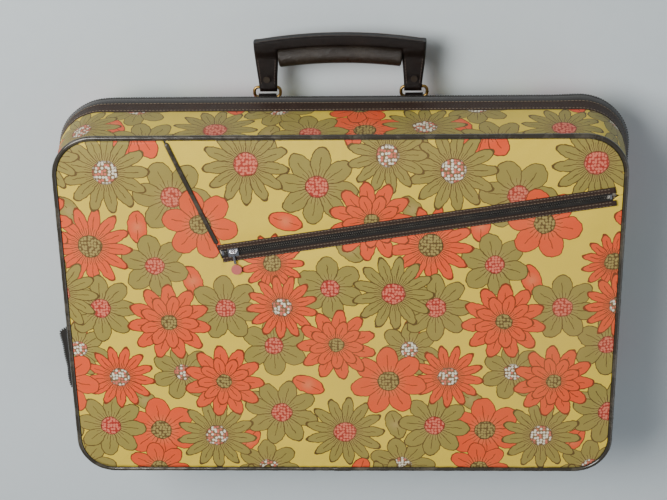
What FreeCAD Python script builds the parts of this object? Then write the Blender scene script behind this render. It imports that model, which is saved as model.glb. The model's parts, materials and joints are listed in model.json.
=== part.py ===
# Soft-sided zip suitcase, lying on its back: X across, +Y towards the handle, +Z out of the front.
# The origin is the middle of the back cover's outer face. All lengths are millimetres.
import FreeCAD, Part
import os
import re
import Sketcher
from math import pi

Vector = FreeCAD.Vector
Constraint = Sketcher.Constraint

SIZES = {
    # case outline, measured on the outer face of the gusset covers
    "zip_wide": 542, "zip_tall": 370, "corner_top": 46, "corner_low": 42,
    "zip_level": 56, "front_level": 136, "lid_flare": 9, "back_inset": 22,
    # walls
    "cover_thick": 1.2, "frame_thick": 2.5, "lining_thick": 1, "skin_gap": 0.1,
    "board_thick": 2.5, "padding_thick": 6.6, "padding_proud": 0.8, "pocket_gap": 3.4,
    "piping_radius": 2.4, "piping_out": 1.2, "back_piping_out": 1.5, "back_piping_level": 2.8,
    "frame_stop": 5, "binding_wide": 7, "binding_proud": 0.4,
    # main zip
    "teeth_gap": 1.2, "teeth_high": 1.4, "teeth_half": 1.1, "tape_high": 2.4, "tape_half": 0.4,
    "lid_tape_high": 8, "lid_binding_wide": 14,
    "hinge_half": 206, "zip_end_half": 212,
    "open_run_top": -50, "open_run_out": 20,
    # sliders and pulls
    "slider_run": 10, "slider_wide": 8, "slider_plate": 1.2, "slider_clear": 0.4, "neck_high": 0.9,
    "main_slider_at": -28, "pull_run": 13, "pull_wide": 5, "pull_thick": 1.2, "eye_pin": 0.7,
    "eye_clear": 0.05, "eye_arm": 0.7, "eye_wide": 3.6, "pin_run": 6, "pin_lift": 1.8,
    "post_wide": 2.4, "post_thick": 1.2, "post_rise": 2.6, "neck_run": 3, "blade_wide": 3,
    # pocket zip
    "pocket_left_x": -111, "pocket_left_y": 62, "pocket_slant": 8.8, "pocket_run": 366,
    "seam_lean": 23, "seam_radius": 1.7, "pocket_floor": -112, "pocket_lip": 8, "pocket_end": 4,
    "pocket_teeth_wide": 1.6, "pocket_tape_wide": 2.8, "pocket_binding_wide": 5,
    "pocket_slider_at": 11, "pocket_teeth_sink": 0.4, "pocket_stop_run": 1.9,
    "chain_run": 11, "chain_wide": 2, "chain_thick": 1.4, "tag_run": 12, "tag_wide": 10, "tag_thick": 1.8,
    # handle, rings and chapes
    "handle_level": 38, "leg_x": 70.5, "leg_foot": 16, "leg_head": 23, "leg_thick": 9,
    "handle_half": 82, "handle_rise": 66.4, "arch_sag": 7, "band_deep": 10, "band_thick": 15,
    "core_deep": 5, "core_thick": 9, "grip_radius": 9, "finger_half": 58,
    "ring_wide": 25, "ring_tall": 10, "wire_radius": 1.5, "ring_round": 4, "ring_clear": 0.08,
    "chape_wide": 17, "chape_long": 20, "chape_thick": 1.6, "loop_radius": 3.4, "loop_lift": 3.9,
    "rivet_radius": 1.6, "rivet_head": 3.2, "rivet_cap": 1.1, "rivet_side": 4.6, "rivet_back": 12,
    # feet and packing straps
    "foot_radius": 7, "foot_tall": 5, "foot_x": 178, "foot_low": 26, "foot_high": 112,
    "strap_wide": 24, "strap_thick": 1.4, "strap_y": 40, "strap_end": 12,
    "buckle_run": 34, "buckle_thick": 3, "buckle_side": 4,
}

doc = FreeCAD.newDocument("Suitcase")
sheet = doc.addObject("Spreadsheet::Sheet", "Sizes")
for row, (alias, value) in enumerate(SIZES.items(), start=1):
    sheet.set(f"A{row}", alias)
    sheet.set(f"B{row}", str(value))
    sheet.setAlias(f"B{row}", alias)
doc.recompute()

nodes = {}


def size(expression):
    """Write the sheet's aliases in an expression in the form that FreeCAD reads."""
    return re.sub(r"[a-z_]+", lambda word: f"Sizes.{word[0]}" if word[0] in SIZES else word[0],
                  expression.replace("( ", "(").replace(" (", "(").replace(" )", ")"))


def bind(item, name, expression):
    item.setExpression(name, size(str(expression)))


def node(item, label):
    """Give a finished sub-part its name; only these are written out."""
    item.Label = label
    nodes[label] = item
    return item


# ---------------------------------------------------------------- outlines of the case

def inset(side, level):
    """How far the gusset has leaned in from the zip's outline at a level."""
    if side == "lid":
        return f"( lid_flare * ( {level} - zip_level ) / ( front_level - zip_level ) )"
    return f"( back_inset * ( zip_level - ( {level} ) ) / zip_level )"


def plane_sketch(body, name, role, lift="0"):
    sketch = body.newObject("Sketcher::SketchObject", name)
    plane = [item for item in body.Origin.OriginFeatures if item.Role == role][0]
    sketch.AttachmentSupport = [(plane, "")]
    sketch.MapMode = "FlatFace"
    bind(sketch, "AttachmentOffset.Base.z", lift)
    return sketch


def add_dimension(sketch, constraint, expression):
    number = sketch.addConstraint(constraint)
    bind(sketch, f"Constraints[{number}]", expression)


def outline(body, name, side, level, offset):
    """Rounded outline of the case at a level, moved outwards by an offset."""
    sketch = plane_sketch(body, name, "XY_Plane", level)
    x, y, top, low = 260, 170, 40, 35
    sketch.addGeometry([
        Part.LineSegment(Vector(low - x, -y, 0), Vector(x - low, -y, 0)),
        Part.ArcOfCircle(Part.Circle(Vector(x - low, low - y, 0), Vector(0, 0, 1), low), -pi / 2, 0),
        Part.LineSegment(Vector(x, low - y, 0), Vector(x, y - top, 0)),
        Part.ArcOfCircle(Part.Circle(Vector(x - top, y - top, 0), Vector(0, 0, 1), top), 0, pi / 2),
        Part.LineSegment(Vector(x - top, y, 0), Vector(top - x, y, 0)),
        Part.ArcOfCircle(Part.Circle(Vector(top - x, y - top, 0), Vector(0, 0, 1), top), pi / 2, pi),
        Part.LineSegment(Vector(-x, y - top, 0), Vector(-x, low - y, 0)),
        Part.ArcOfCircle(Part.Circle(Vector(low - x, low - y, 0), Vector(0, 0, 1), low), pi, 1.5 * pi),
    ], False)
    for edge in range(8):
        sketch.addConstraint(Constraint("Tangent", edge, 2, (edge + 1) % 8, 1))
    sketch.addConstraint(Constraint("Vertical", 2))
    sketch.addConstraint(Constraint("Vertical", 6))
    sketch.addConstraint(Constraint("Horizontal", 4))
    sketch.addConstraint(Constraint("Symmetric", 0, 1, 0, 2, -2))
    sketch.addConstraint(Constraint("Equal", 3, 5))
    sketch.addConstraint(Constraint("Equal", 1, 7))
    move = f"( {offset} ) - {inset(side, level)}"
    add_dimension(sketch, Constraint("DistanceX", 6, 1, 2, 2, 2 * x), f"zip_wide + 2 * ( {move} )")
    add_dimension(sketch, Constraint("DistanceY", 0, 1, 4, 1, 2 * y), f"zip_tall + 2 * ( {move} )")
    add_dimension(sketch, Constraint("Radius", 3, top), f"corner_top + {move}")
    add_dimension(sketch, Constraint("Radius", 1, low), f"corner_low + {move}")
    add_dimension(sketch, Constraint("DistanceY", 0, 1, -1, 1, y), f"zip_tall / 2 + {move}")
    return sketch


def hoop(label, side, low, high, outer, inner, floor=None):
    """Wall that follows the leaning gusset between two levels; a floor closes one end."""
    body = doc.addObject("PartDesign::Body", label + "_body")
    below, above = outline(body, "below", side, low, outer), outline(body, "above", side, high, outer)
    skin = body.newObject("PartDesign::AdditiveLoft", "skin")
    skin.Profile, skin.Sections, skin.Ruled = below, [above], True
    cut_low = f"{low} + {floor}" if floor and side == "body" else low
    cut_high = f"{high} - {floor}" if floor and side == "lid" else high
    inner_low = outline(body, "inner_low", side, cut_low, inner)
    inner_high = outline(body, "inner_high", side, cut_high, inner)
    hollow = body.newObject("PartDesign::SubtractiveLoft", "hollow")
    hollow.Profile, hollow.Sections, hollow.Ruled = inner_low, [inner_high], True
    body.Tip = hollow
    return body


def slab(label, side, low, thick, offset):
    """Flat plate with the case's outline."""
    body = doc.addObject("PartDesign::Body", label + "_body")
    pad = body.newObject("PartDesign::Pad", "pad")
    pad.Profile = outline(body, "edge", side, low, offset)
    bind(pad, "Length", thick)
    body.Tip = pad
    return body


def piping(label, side, level, out):
    """Round cord sewn along the edge of a face panel."""
    body = doc.addObject("PartDesign::Body", label + "_body")
    route = outline(body, "route", side, level, out)
    section = plane_sketch(body, "section", "YZ_Plane")
    section.addGeometry(Part.Circle(Vector(-170, 10, 0), Vector(0, 0, 1), 2), False)
    add_dimension(section, Constraint("Radius", 0, 2), "piping_radius")
    add_dimension(section, Constraint("DistanceX", 0, 3, -1, 1, 170),
                  f"zip_tall / 2 + {out} - {inset(side, level)}")
    add_dimension(section, Constraint("DistanceY", -1, 1, 0, 3, 10), level)
    pipe = body.newObject("PartDesign::AdditivePipe", "pipe")
    pipe.Profile, pipe.Spine = section, route
    body.Tip = pipe
    return node(body, label)


# ---------------------------------------------------------------- simple solids

def place(item, at, turn_axis=None, turn="0"):
    for letter, value in zip("xyz", at):
        bind(item, f"Placement.Base.{letter}", value)
    if turn_axis is not None:
        item.Placement.Rotation = FreeCAD.Rotation(turn_axis, 30)
        bind(item, "Placement.Rotation.Angle", turn)
    return item


def box(name, lengths, at, turn_axis=None, turn="0"):
    item = doc.addObject("Part::Box", name)
    for side, value in zip(("Length", "Width", "Height"), lengths):
        bind(item, side, value)
    return place(item, at, turn_axis, turn)


def rod(name, radius, length, at, turn_axis=None, turn="0"):
    item = doc.addObject("Part::Cylinder", name)
    bind(item, "Radius", radius)
    bind(item, "Height", length)
    return place(item, at, turn_axis, turn)


def cut(name, base, tool):
    item = doc.addObject("Part::Cut", name)
    item.Base, item.Tool = base, tool
    return item


def fuse(name, pieces):
    item = doc.addObject("Part::MultiFuse", name)
    item.Shapes = pieces
    return item


def prism(name, corners, low, thick):
    """Upright plate whose flat outline joins the corners in turn."""
    body = doc.addObject("PartDesign::Body", name)
    sketch = plane_sketch(body, "corners", "XY_Plane", low)
    values = [[doc_value(corner[0]), doc_value(corner[1])] for corner in corners]
    for start, end in zip(values, values[1:] + values[:1]):
        sketch.addGeometry(Part.LineSegment(Vector(*start, 0), Vector(*end, 0)), False)
    for edge in range(len(corners)):
        sketch.addConstraint(Constraint("Coincident", edge, 2, (edge + 1) % len(corners), 1))
    for edge, (across, up) in enumerate(corners):
        add_dimension(sketch, Constraint("DistanceX", -1, 1, edge, 1, values[edge][0]), across)
        add_dimension(sketch, Constraint("DistanceY", -1, 1, edge, 1, values[edge][1]), up)
    pad = body.newObject("PartDesign::Pad", "pad")
    pad.Profile = sketch
    bind(pad, "Length", thick)
    body.Tip = pad
    return body


def doc_value(expression):
    """Present value of an expression of the sheet's aliases."""
    found = sheet.evalExpression(size(str(expression)).replace("Sizes.", ""))
    return float(found.Value if hasattr(found, "Value") else found)


# ---------------------------------------------------------------- rear half: shell

inner_skin = "0 - cover_thick - skin_gap"
frame_inside = "0 - cover_thick - 2 * skin_gap - frame_thick"
lining_inside = "0 - cover_thick - 2 * skin_gap - frame_thick - lining_thick"
lining_outside = "0 - cover_thick - 3 * skin_gap - frame_thick"
teeth_edge = "( teeth_gap / 2 )"
tape_edge = "( teeth_gap / 2 + teeth_high )"
binding_edge = "( teeth_gap / 2 + teeth_high + tape_high )"
cover_edge = "( teeth_gap / 2 + teeth_high + tape_high + binding_wide + skin_gap )"
lid_binding_edge = "( teeth_gap / 2 + teeth_high + lid_tape_high )"
lid_cover_edge = f"( {lid_binding_edge} + lid_binding_wide + skin_gap )"
piping_top = "( back_piping_level + piping_radius + skin_gap )"

zip_gap = box("zip_gap", ("2 * zip_end_half", "zip_tall / 4", "4 * binding_wide"),
              ("0 - zip_end_half", "0 - zip_tall / 2 - zip_tall / 8", "zip_level - 2 * binding_wide"))

node(slab("back_cover", "body", "0", "cover_thick", "0 - cover_thick - skin_gap"), "back_cover")
node(slab("back_board", "body", "cover_thick", "board_thick",
          f"{frame_inside} - skin_gap"), "back_board")
piping("back_piping", "body", "back_piping_level", "back_piping_out")
gusset = hoop("body_gusset", "body", piping_top, f"zip_level - {cover_edge}", "0", "0 - cover_thick")
frame = hoop("body_frame_hoop", "body", "cover_thick + skin_gap", "zip_level - frame_stop",
             inner_skin, frame_inside)
lining = hoop("body_lining_tray", "body", "cover_thick + board_thick",
              "zip_level - frame_stop", lining_outside, lining_inside, "lining_thick")
node(hoop("body_binding", "body", f"zip_level - {cover_edge} + skin_gap", f"zip_level - {binding_edge}",
          "binding_proud", "0 - cover_thick"), "body_zip_binding")
tape_ring = hoop("body_tape_hoop", "body", f"zip_level - {binding_edge}", f"zip_level - {tape_edge}",
                 "tape_half", "0 - tape_half")
node(cut("body_tape_cut", tape_ring, zip_gap), "body_zip_tape")
teeth_ring = hoop("body_teeth_hoop", "body", f"zip_level - {tape_edge}", f"zip_level - {teeth_edge}",
                  "teeth_half", "0 - teeth_half")
node(cut("body_teeth_cut", teeth_ring, zip_gap), "body_zip_teeth")

strip_high = f"{binding_edge} + {lid_binding_edge}"
node(box("hinge_strip_box", ("2 * hinge_half", "2 * tape_half", strip_high),
         ("0 - hinge_half", "0 - zip_tall / 2 - tape_half", f"zip_level - {binding_edge}")), "hinge_strip")
stops = []
for name, at in (("stop_left", "0 - zip_end_half + skin_gap"), ("stop_right", "hinge_half + skin_gap")):
    stops.append(box(name, ("zip_end_half - hinge_half - 2 * skin_gap", "2 * teeth_half", "2 * teeth_high"),
                     (at, "0 - zip_tall / 2 - teeth_half", f"zip_level - {tape_edge}")))
node(fuse("stops", stops), "main_zip_stops")

# ---------------------------------------------------------------- rear half: chapes that hold the rings

lean = "atan ( back_inset / zip_level )"
lid_lean = "atan ( lid_flare / ( front_level - zip_level ) )"
gusset_y = f"( zip_tall / 2 - {inset('body', 'handle_level')} )"
ring_y = f"( {gusset_y} + loop_lift )"
side_turn = Vector(0, 1, 0)
lean_turn = Vector(-1, 0, 0)


def on_gusset(across, out, down):
    """Point on the leaning top gusset: across X, out of its face, and down from the handle's level."""
    return (across,
            f"{gusset_y} + ( {out} ) * cos ( {lean} ) - ( {down} ) * sin ( {lean} )",
            f"handle_level - ( {out} ) * sin ( {lean} ) - ( {down} ) * cos ( {lean} )")


def rivet_rod(name, radius, length, across, out, down):
    """Rod square to the leaning gusset, starting at a height over its face."""
    item = rod(name, radius, length, on_gusset(across, out, down), Vector(-1, 0, 0),
               f"90 deg + {lean}")
    return item


holes, rivets, plates, plate_holes = [], [], [], []
wall_deep = "( cover_thick + 3 * skin_gap + frame_thick + lining_thick )"
plate_deep = "( chape_thick / 2 )"
for side, sign in (("left", "0 - "), ("right", "")):
    middle = f"( {sign}leg_x )"
    base = box(f"chape_base_{side}", ("chape_wide", "chape_thick", "chape_long"),
               on_gusset(f"{middle} - chape_wide / 2", "skin_gap", "chape_long"), lean_turn, lean)
    tongue = box(f"chape_tongue_{side}", ("chape_wide", "loop_lift", "chape_thick"),
                 on_gusset(f"{middle} - chape_wide / 2", "skin_gap", "loop_radius"), lean_turn, lean)
    loop = rod(f"chape_loop_{side}", "loop_radius", "chape_wide",
               (f"{middle} - chape_wide / 2", ring_y, "handle_level"), side_turn, "90")
    bore = rod(f"chape_bore_{side}", "wire_radius + ring_clear", "chape_wide + 2",
               (f"{middle} - chape_wide / 2 - 1", ring_y, "handle_level"), side_turn, "90")
    solid = cut(f"chape_solid_{side}", fuse(f"chape_fuse_{side}", [base, tongue, loop]), bore)
    chape_holes = []
    for place_name, shift in (("a", "0 - rivet_side"), ("b", "rivet_side")):
        across = f"{middle} + ( {shift} )"
        tag = f"{side}_{place_name}"
        chape_holes.append(rivet_rod(f"hole_{tag}", "rivet_radius", "chape_long",
                                     across, "0 - chape_long / 2", "rivet_back"))
        shank = rivet_rod(f"shank_{tag}", "rivet_radius",
                          f"{wall_deep} + {plate_deep} + chape_thick + 2 * skin_gap + 2 * rivet_cap",
                          across, f"0 - {wall_deep} - {plate_deep} - skin_gap - rivet_cap", "rivet_back")
        head = rivet_rod(f"head_{tag}", "rivet_head", "rivet_cap", across,
                         "chape_thick + skin_gap", "rivet_back")
        tail = rivet_rod(f"tail_{tag}", "rivet_head", "rivet_cap", across,
                         f"0 - {wall_deep} - {plate_deep} - skin_gap - rivet_cap", "rivet_back")
        rivets.append(fuse(f"rivet_{tag}", [shank, head, tail]))
    node(cut(f"chape_drilled_{side}", solid, fuse(f"chape_holes_{side}", chape_holes)),
         f"handle_chape_{side}")
    holes += chape_holes
    plate = box(f"plate_{side}", ("chape_wide", plate_deep, "chape_long - 6"),
                on_gusset(f"{middle} - chape_wide / 2", f"0 - {wall_deep} - {plate_deep} - skin_gap",
                          "rivet_back + chape_long / 2 - 3"), lean_turn, lean)
    plates.append(plate)
all_holes = fuse("all_holes", holes)
node(fuse("rivet_group", rivets), "chape_rivets")
node(cut("plates_drilled", fuse("plate_group", plates), all_holes), "chape_backing_plates")
node(cut("gusset_drilled", gusset, all_holes), "body_gusset_cover")
node(cut("frame_drilled", frame, all_holes), "body_frame")
node(cut("lining_drilled", lining, all_holes), "body_lining")


# ---------------------------------------------------------------- feet on the bottom gusset

def feet(label, side, level):
    """Two domed studs on the bottom gusset, which carry the case when it stands upright."""
    studs = []
    for name, sign in (("left", "0 - "), ("right", "")):
        stud = doc.addObject("Part::Cone", f"{label}_{name}")
        bind(stud, "Radius1", "foot_radius")
        bind(stud, "Radius2", "foot_radius * 0.6")
        bind(stud, "Height", "foot_tall")
        top = f"0 - zip_tall / 2 + {inset(side, level)} - skin_gap"
        turn = f"90 deg + {lean}" if side == "body" else f"90 deg - {lid_lean}"
        place(stud, (f"{sign}foot_x", top, level), Vector(1, 0, 0), turn)
        studs.append(stud)
    node(fuse(f"{label}_group", studs), label)


feet("body_feet", "body", "foot_low")
feet("lid_feet", "lid", "foot_high")

# ---------------------------------------------------------------- packing straps inside the rear half

floor_top = "( cover_thick + board_thick + lining_thick + skin_gap )"
strap_half = "( zip_wide / 2 - back_inset - strap_end - buckle_run / 2 )"
for name, start in (("left", f"0 - buckle_run / 2 - {strap_half}"), ("right", "buckle_run / 2")):
    node(box(f"strap_{name}", (strap_half, "strap_wide", "strap_thick"),
             (start, "strap_y - strap_wide / 2", floor_top)), f"packing_strap_{name}")
buckle = box("buckle_plate", ("buckle_run - 2 * skin_gap", "strap_wide + 2 * buckle_side", "buckle_thick"),
             ("0 - buckle_run / 2 + skin_gap", "strap_y - strap_wide / 2 - buckle_side", floor_top))
window = box("buckle_window", ("buckle_run / 3", "strap_wide", "buckle_thick + 2"),
             ("0 - buckle_run / 6", "strap_y - strap_wide / 2", f"{floor_top} - 1"))
node(cut("buckle_cut", buckle, window), "strap_buckle")

# ---------------------------------------------------------------- front half (the lid): shell

padding_low = "( front_level + padding_proud - padding_thick )"
panel_low = "( front_level + padding_proud + skin_gap )"
board_low = f"( {padding_low} - skin_gap - board_thick )"
gusset_stop = "( front_level - piping_radius - skin_gap )"

node(hoop("lid_gusset", "lid", f"zip_level + {lid_cover_edge}", gusset_stop, "0", "0 - cover_thick"),
     "lid_gusset_cover")
node(hoop("lid_frame_hoop", "lid", "zip_level + frame_stop", f"{padding_low} - skin_gap",
          inner_skin, frame_inside), "lid_frame")
node(hoop("lid_binding", "lid", f"zip_level + {lid_binding_edge}",
          f"zip_level + {lid_cover_edge} - skin_gap", "binding_proud", "0 - cover_thick"), "lid_zip_binding")
node(slab("front_board", "lid", board_low, "board_thick", f"{frame_inside} - skin_gap"
          f" - {inset('lid', 'front_level')} + {inset('lid', board_low)}"), "front_board")
node(hoop("lid_lining_tray", "lid", "zip_level + frame_stop", f"{board_low} - skin_gap",
          lining_outside, lining_inside, "lining_thick"), "lid_lining")
piping("front_piping", "lid", "front_level", "piping_out")

# The zip's teeth and tape stand open on the left below the slider, where the lid's row flares out.
open_low = "( 0 - zip_tall / 2 + corner_low + 1 )"
left_edge = "( 0 - zip_wide / 2 )"
open_gap = box("open_gap", ("4 * teeth_half", f"open_run_top - {open_low}", "3 * tape_high"),
               (f"{left_edge} - 2 * teeth_half", open_low, f"zip_level + {teeth_edge}"))
lid_tools = fuse("lid_zip_tools", [zip_gap, open_gap])
lid_tape = cut("lid_tape_cut", hoop("lid_tape_hoop", "lid", f"zip_level + {tape_edge}",
               f"zip_level + {lid_binding_edge}", "tape_half", "0 - tape_half"), lid_tools)
flare_low = f"( zip_level + {tape_edge} + skin_gap )"
flare = prism("lid_tape_flare", [
    (f"{left_edge} - tape_half", f"{open_low}"),
    (f"{left_edge} - open_run_out * 0.55", f"{open_low} * 0.85 + open_run_top * 0.15"),
    (f"{left_edge} - open_run_out", f"{open_low} * 0.12 + open_run_top * 0.88"),
    (f"{left_edge} - tape_half", "open_run_top"),
    (f"{left_edge} + tape_half", "open_run_top"),
    (f"{left_edge} + tape_half", open_low)], flare_low, "tape_high - 2 * skin_gap")
node(lid_tape, "lid_zip_tape")
node(flare, "lid_zip_open_run")
node(cut("lid_teeth_cut", hoop("lid_teeth_hoop", "lid", f"zip_level + {teeth_edge}",
         f"zip_level + {tape_edge}", "teeth_half", "0 - teeth_half"), lid_tools), "lid_zip_teeth")


# ---------------------------------------------------------------- front pocket and its slanted zip

def on_zip(along, across):
    """Point on the front face, measured along and across the slanted pocket zip."""
    return (f"pocket_left_x + ( {along} ) * cos ( pocket_slant ) - ( {across} ) * sin ( pocket_slant )",
            f"pocket_left_y + ( {along} ) * sin ( pocket_slant ) + ( {across} ) * cos ( pocket_slant )")


up = Vector(0, 0, 1)
row_back = "( teeth_gap / 2 + pocket_teeth_wide )"
tape_back = "( teeth_gap / 2 + pocket_teeth_wide + pocket_tape_wide )"
far = "zip_wide"


def zip_box(name, start, run, low_across, wide, low, thick):
    along_x, along_y = on_zip(start, low_across)
    return box(name, (run, wide, thick), (along_x, along_y, low), up, "pocket_slant")


def seam_box(name, low_across, wide, low, thick):
    """Bar along the seam that leans from the pocket zip's left end to the top edge."""
    return box(name, (wide, far, thick),
               (f"pocket_left_x + ( {low_across} ) * cos ( seam_lean )",
                f"pocket_left_y + ( {low_across} ) * sin ( seam_lean )", low), up, "seam_lean")


panel_offset = "0 - cover_thick - skin_gap"
for label, tool_kind in (("front_upper_panel", "Part::MultiCommon"), ("front_main_panel", "Part::Cut")):
    plate = slab(label + "_plate", "lid", panel_low, "cover_thick", panel_offset)
    edge = "1" if tool_kind == "Part::MultiCommon" else "0 - 1"
    zip_side = zip_box(label + "_zip", f"0 - {far}", f"2 * {far}", f"{edge} * ( {tape_back} + skin_gap )",
                       far, f"{panel_low} - 1", "cover_thick + 2")
    seam_side = seam_box(label + "_seam", f"{edge} * ( seam_radius + skin_gap )", far,
                         f"{panel_low} - 1", "cover_thick + 2")
    bind(seam_side, "Placement.Base.y",
         f"pocket_left_y + ( {edge} * ( seam_radius + skin_gap ) ) * sin ( seam_lean )"
         f" - {far} / 4 * cos ( seam_lean )")
    bind(seam_side, "Placement.Base.x",
         f"pocket_left_x + ( {edge} * ( seam_radius + skin_gap ) ) * cos ( seam_lean )"
         f" + {far} / 4 * sin ( seam_lean )")
    corner = doc.addObject("Part::MultiCommon", label + "_corner")
    corner.Shapes = [zip_side, seam_side]
    if tool_kind == "Part::Cut":
        node(cut(label + "_cut", plate, corner), label)
    else:
        piece = doc.addObject("Part::MultiCommon", label + "_common")
        piece.Shapes = [plate, corner]
        node(piece, label)

pocket_right = "( pocket_left_x + pocket_run * cos ( pocket_slant ) + pocket_end )"
pocket_left = "( pocket_left_x - pocket_lip )"
pocket_depth = "( pocket_gap + lining_thick )"


def pocket_corners(shift):
    """Outline of the pocket: square at the bottom and slanted along the zip, moved out by a shift."""
    above_zip = f"pocket_left_y + {tape_back} + pocket_lip + {shift}"
    left, right, low = f"{pocket_left} - {shift}", f"{pocket_right} + {shift}", f"pocket_floor - {shift}"
    return [(left, low), (right, low),
            (right, f"{above_zip} + ( {pocket_right} - pocket_left_x ) * tan ( pocket_slant )"),
            (left, f"{above_zip} - pocket_lip * tan ( pocket_slant )")]


recess = prism("pocket_recess", pocket_corners("0"), f"{panel_low} - {pocket_depth} - skin_gap",
               f"{pocket_depth} + 2")
padding = slab("padding_plate", "lid", padding_low, "padding_thick",
               f"{panel_offset} - {inset('lid', panel_low)} + {inset('lid', padding_low)}")
node(cut("padding_cut", padding, recess), "front_padding")
pouch = prism("pocket_pouch", pocket_corners("( 0 - skin_gap )"), f"{panel_low} - {pocket_depth}",
              pocket_depth)
pouch_hollow = prism("pouch_hollow", pocket_corners("( 0 - skin_gap - lining_thick )"),
                     f"{panel_low} - pocket_gap", "pocket_gap + 2")
pouch_limit = slab("pouch_limit", "lid", f"{panel_low} - {pocket_depth}", pocket_depth,
                   f"{panel_offset} - cover_thick")
pouch_within = doc.addObject("Part::MultiCommon", "pouch_within")
pouch_within.Shapes = [cut("pouch_cut", pouch, pouch_hollow), pouch_limit]
node(pouch_within, "pocket_lining")

seam_start = f"( {tape_back} + pocket_binding_wide )"
seam_stop = "( ( zip_tall / 2 - lid_flare - piping_radius - 2 - pocket_left_y ) / cos ( seam_lean ) )"
seam = rod("seam_rod", "seam_radius", f"{seam_stop} - {seam_start}",
           (f"pocket_left_x - {seam_start} * sin ( seam_lean )",
            f"pocket_left_y + {seam_start} * cos ( seam_lean )", f"{panel_low} + seam_radius"))
seam.Placement.Rotation = FreeCAD.Rotation(up, SIZES["seam_lean"]) * FreeCAD.Rotation(Vector(-1, 0, 0), 90)
node(seam, "pocket_slant_piping")

teeth_low = f"( {panel_low} - pocket_teeth_sink )"
teeth_thick = "( cover_thick + 2 * pocket_teeth_sink )"


def beside(side, start, wide):
    """Lower edge of a strip beside the zip's middle line, mirrored for the lower side."""
    return start if side == "upper" else f"0 - ( {start} + {wide} )"


stop_end = "( pocket_stop_run + skin_gap )"
binding_low = f"{panel_low} + cover_thick + skin_gap"
for side in ("upper", "lower"):
    teeth_at = beside(side, teeth_edge, "pocket_teeth_wide")
    tape_at = beside(side, row_back, "pocket_tape_wide")
    binding_at = beside(side, f"{tape_back} - 1", "pocket_binding_wide")
    node(zip_box(f"pocket_teeth_{side}", stop_end, f"pocket_run - 2 * {stop_end}", teeth_at,
                 "pocket_teeth_wide", teeth_low, teeth_thick), f"pocket_zip_teeth_{side}")
    node(zip_box(f"pocket_tape_{side}", "0", "pocket_run", tape_at,
                 "pocket_tape_wide", panel_low, "cover_thick - skin_gap"), f"pocket_zip_tape_{side}")
    node(zip_box(f"pocket_binding_{side}", "0", "pocket_run", binding_at,
                 "pocket_binding_wide", binding_low, "cover_thick"), f"pocket_zip_binding_{side}")
ends = []
for name, start in (("left", "0"), ("right", "pocket_run - pocket_stop_run")):
    ends.append(zip_box(f"pocket_stop_{name}", start, "pocket_stop_run", f"0 - {row_back}",
                        f"2 * {row_back}", teeth_low, teeth_thick))
node(fuse("pocket_stops", ends), "pocket_zip_stops")

# ---------------------------------------------------------------- pocket slider, chain and tag

slide_start = "( pocket_slider_at - slider_run / 2 )"
teeth_top = f"( {teeth_low} + {teeth_thick} )"
top_plate = zip_box("pocket_slider_top", slide_start, "slider_run", "0 - slider_wide / 2",
                    "slider_wide", f"{teeth_top} + slider_clear", "slider_plate")
low_plate = zip_box("pocket_slider_low", slide_start, "slider_run", "0 - slider_wide / 2",
                    "slider_wide", f"{teeth_low} - slider_clear - slider_plate", "slider_plate")
neck = zip_box("pocket_slider_neck", slide_start, "neck_run", "0 - neck_high / 2", "neck_high",
               f"{teeth_low} - slider_clear - slider_plate / 2",
               f"{teeth_thick} + 2 * slider_clear + slider_plate")
pin_level = f"( {teeth_top} + slider_clear + slider_plate + pin_lift )"
pin_along_x = FreeCAD.Rotation(side_turn, 90)
pin_turn = FreeCAD.Rotation(up, SIZES["pocket_slant"]) * pin_along_x


def pin_rod(name, radius, length):
    """Rod along the slider's pin, centred on the slider."""
    item = rod(name, radius, length, on_zip(f"pocket_slider_at - ( {length} ) / 2", "0") + (pin_level,))
    item.Placement.Rotation = pin_turn
    return item


posts = []
for name, start in (("left", "0 - pin_run / 2 - post_thick / 2"), ("right", "pin_run / 2 - post_thick / 2")):
    posts.append(zip_box(f"pocket_post_{name}", f"pocket_slider_at + {start}", "post_thick",
                         "0 - post_wide / 2", "post_wide",
                         f"{teeth_top} + slider_clear + slider_plate / 2", "slider_plate / 2 + post_rise"))
pocket_pin = pin_rod("pocket_pin", "eye_pin", "pin_run")
node(fuse("pocket_slider_fuse", [top_plate, low_plate, neck, pocket_pin] + posts), "pocket_slider")

# The chain starts with an eye around the slider's pin and hangs towards the bottom edge.
eye = pin_rod("chain_eye", "eye_pin + eye_clear + eye_arm", "eye_wide")
eye_hole = pin_rod("chain_eye_hole", "eye_pin + eye_clear", "eye_wide + 2")
strand = zip_box("chain_strand", "pocket_slider_at - chain_wide / 2", "chain_wide", "0 - chain_run",
                 "chain_run - eye_pin - eye_clear", f"{pin_level} - 0.6", "chain_thick")
node(cut("chain_cut", fuse("chain_fuse", [eye, strand]), eye_hole), "pocket_pull_chain")
tag = doc.addObject("Part::Cylinder", "tag_disc")
bind(tag, "Radius", "tag_wide / 2")
bind(tag, "Height", "tag_thick")
tag_x, tag_y = on_zip("pocket_slider_at", "0 - chain_run - tag_run / 2")
place(tag, (tag_x, tag_y, f"{pin_level} - 0.8"))
node(tag, "pocket_pull_tag")

# ---------------------------------------------------------------- main slider and its pull on the left side

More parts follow.
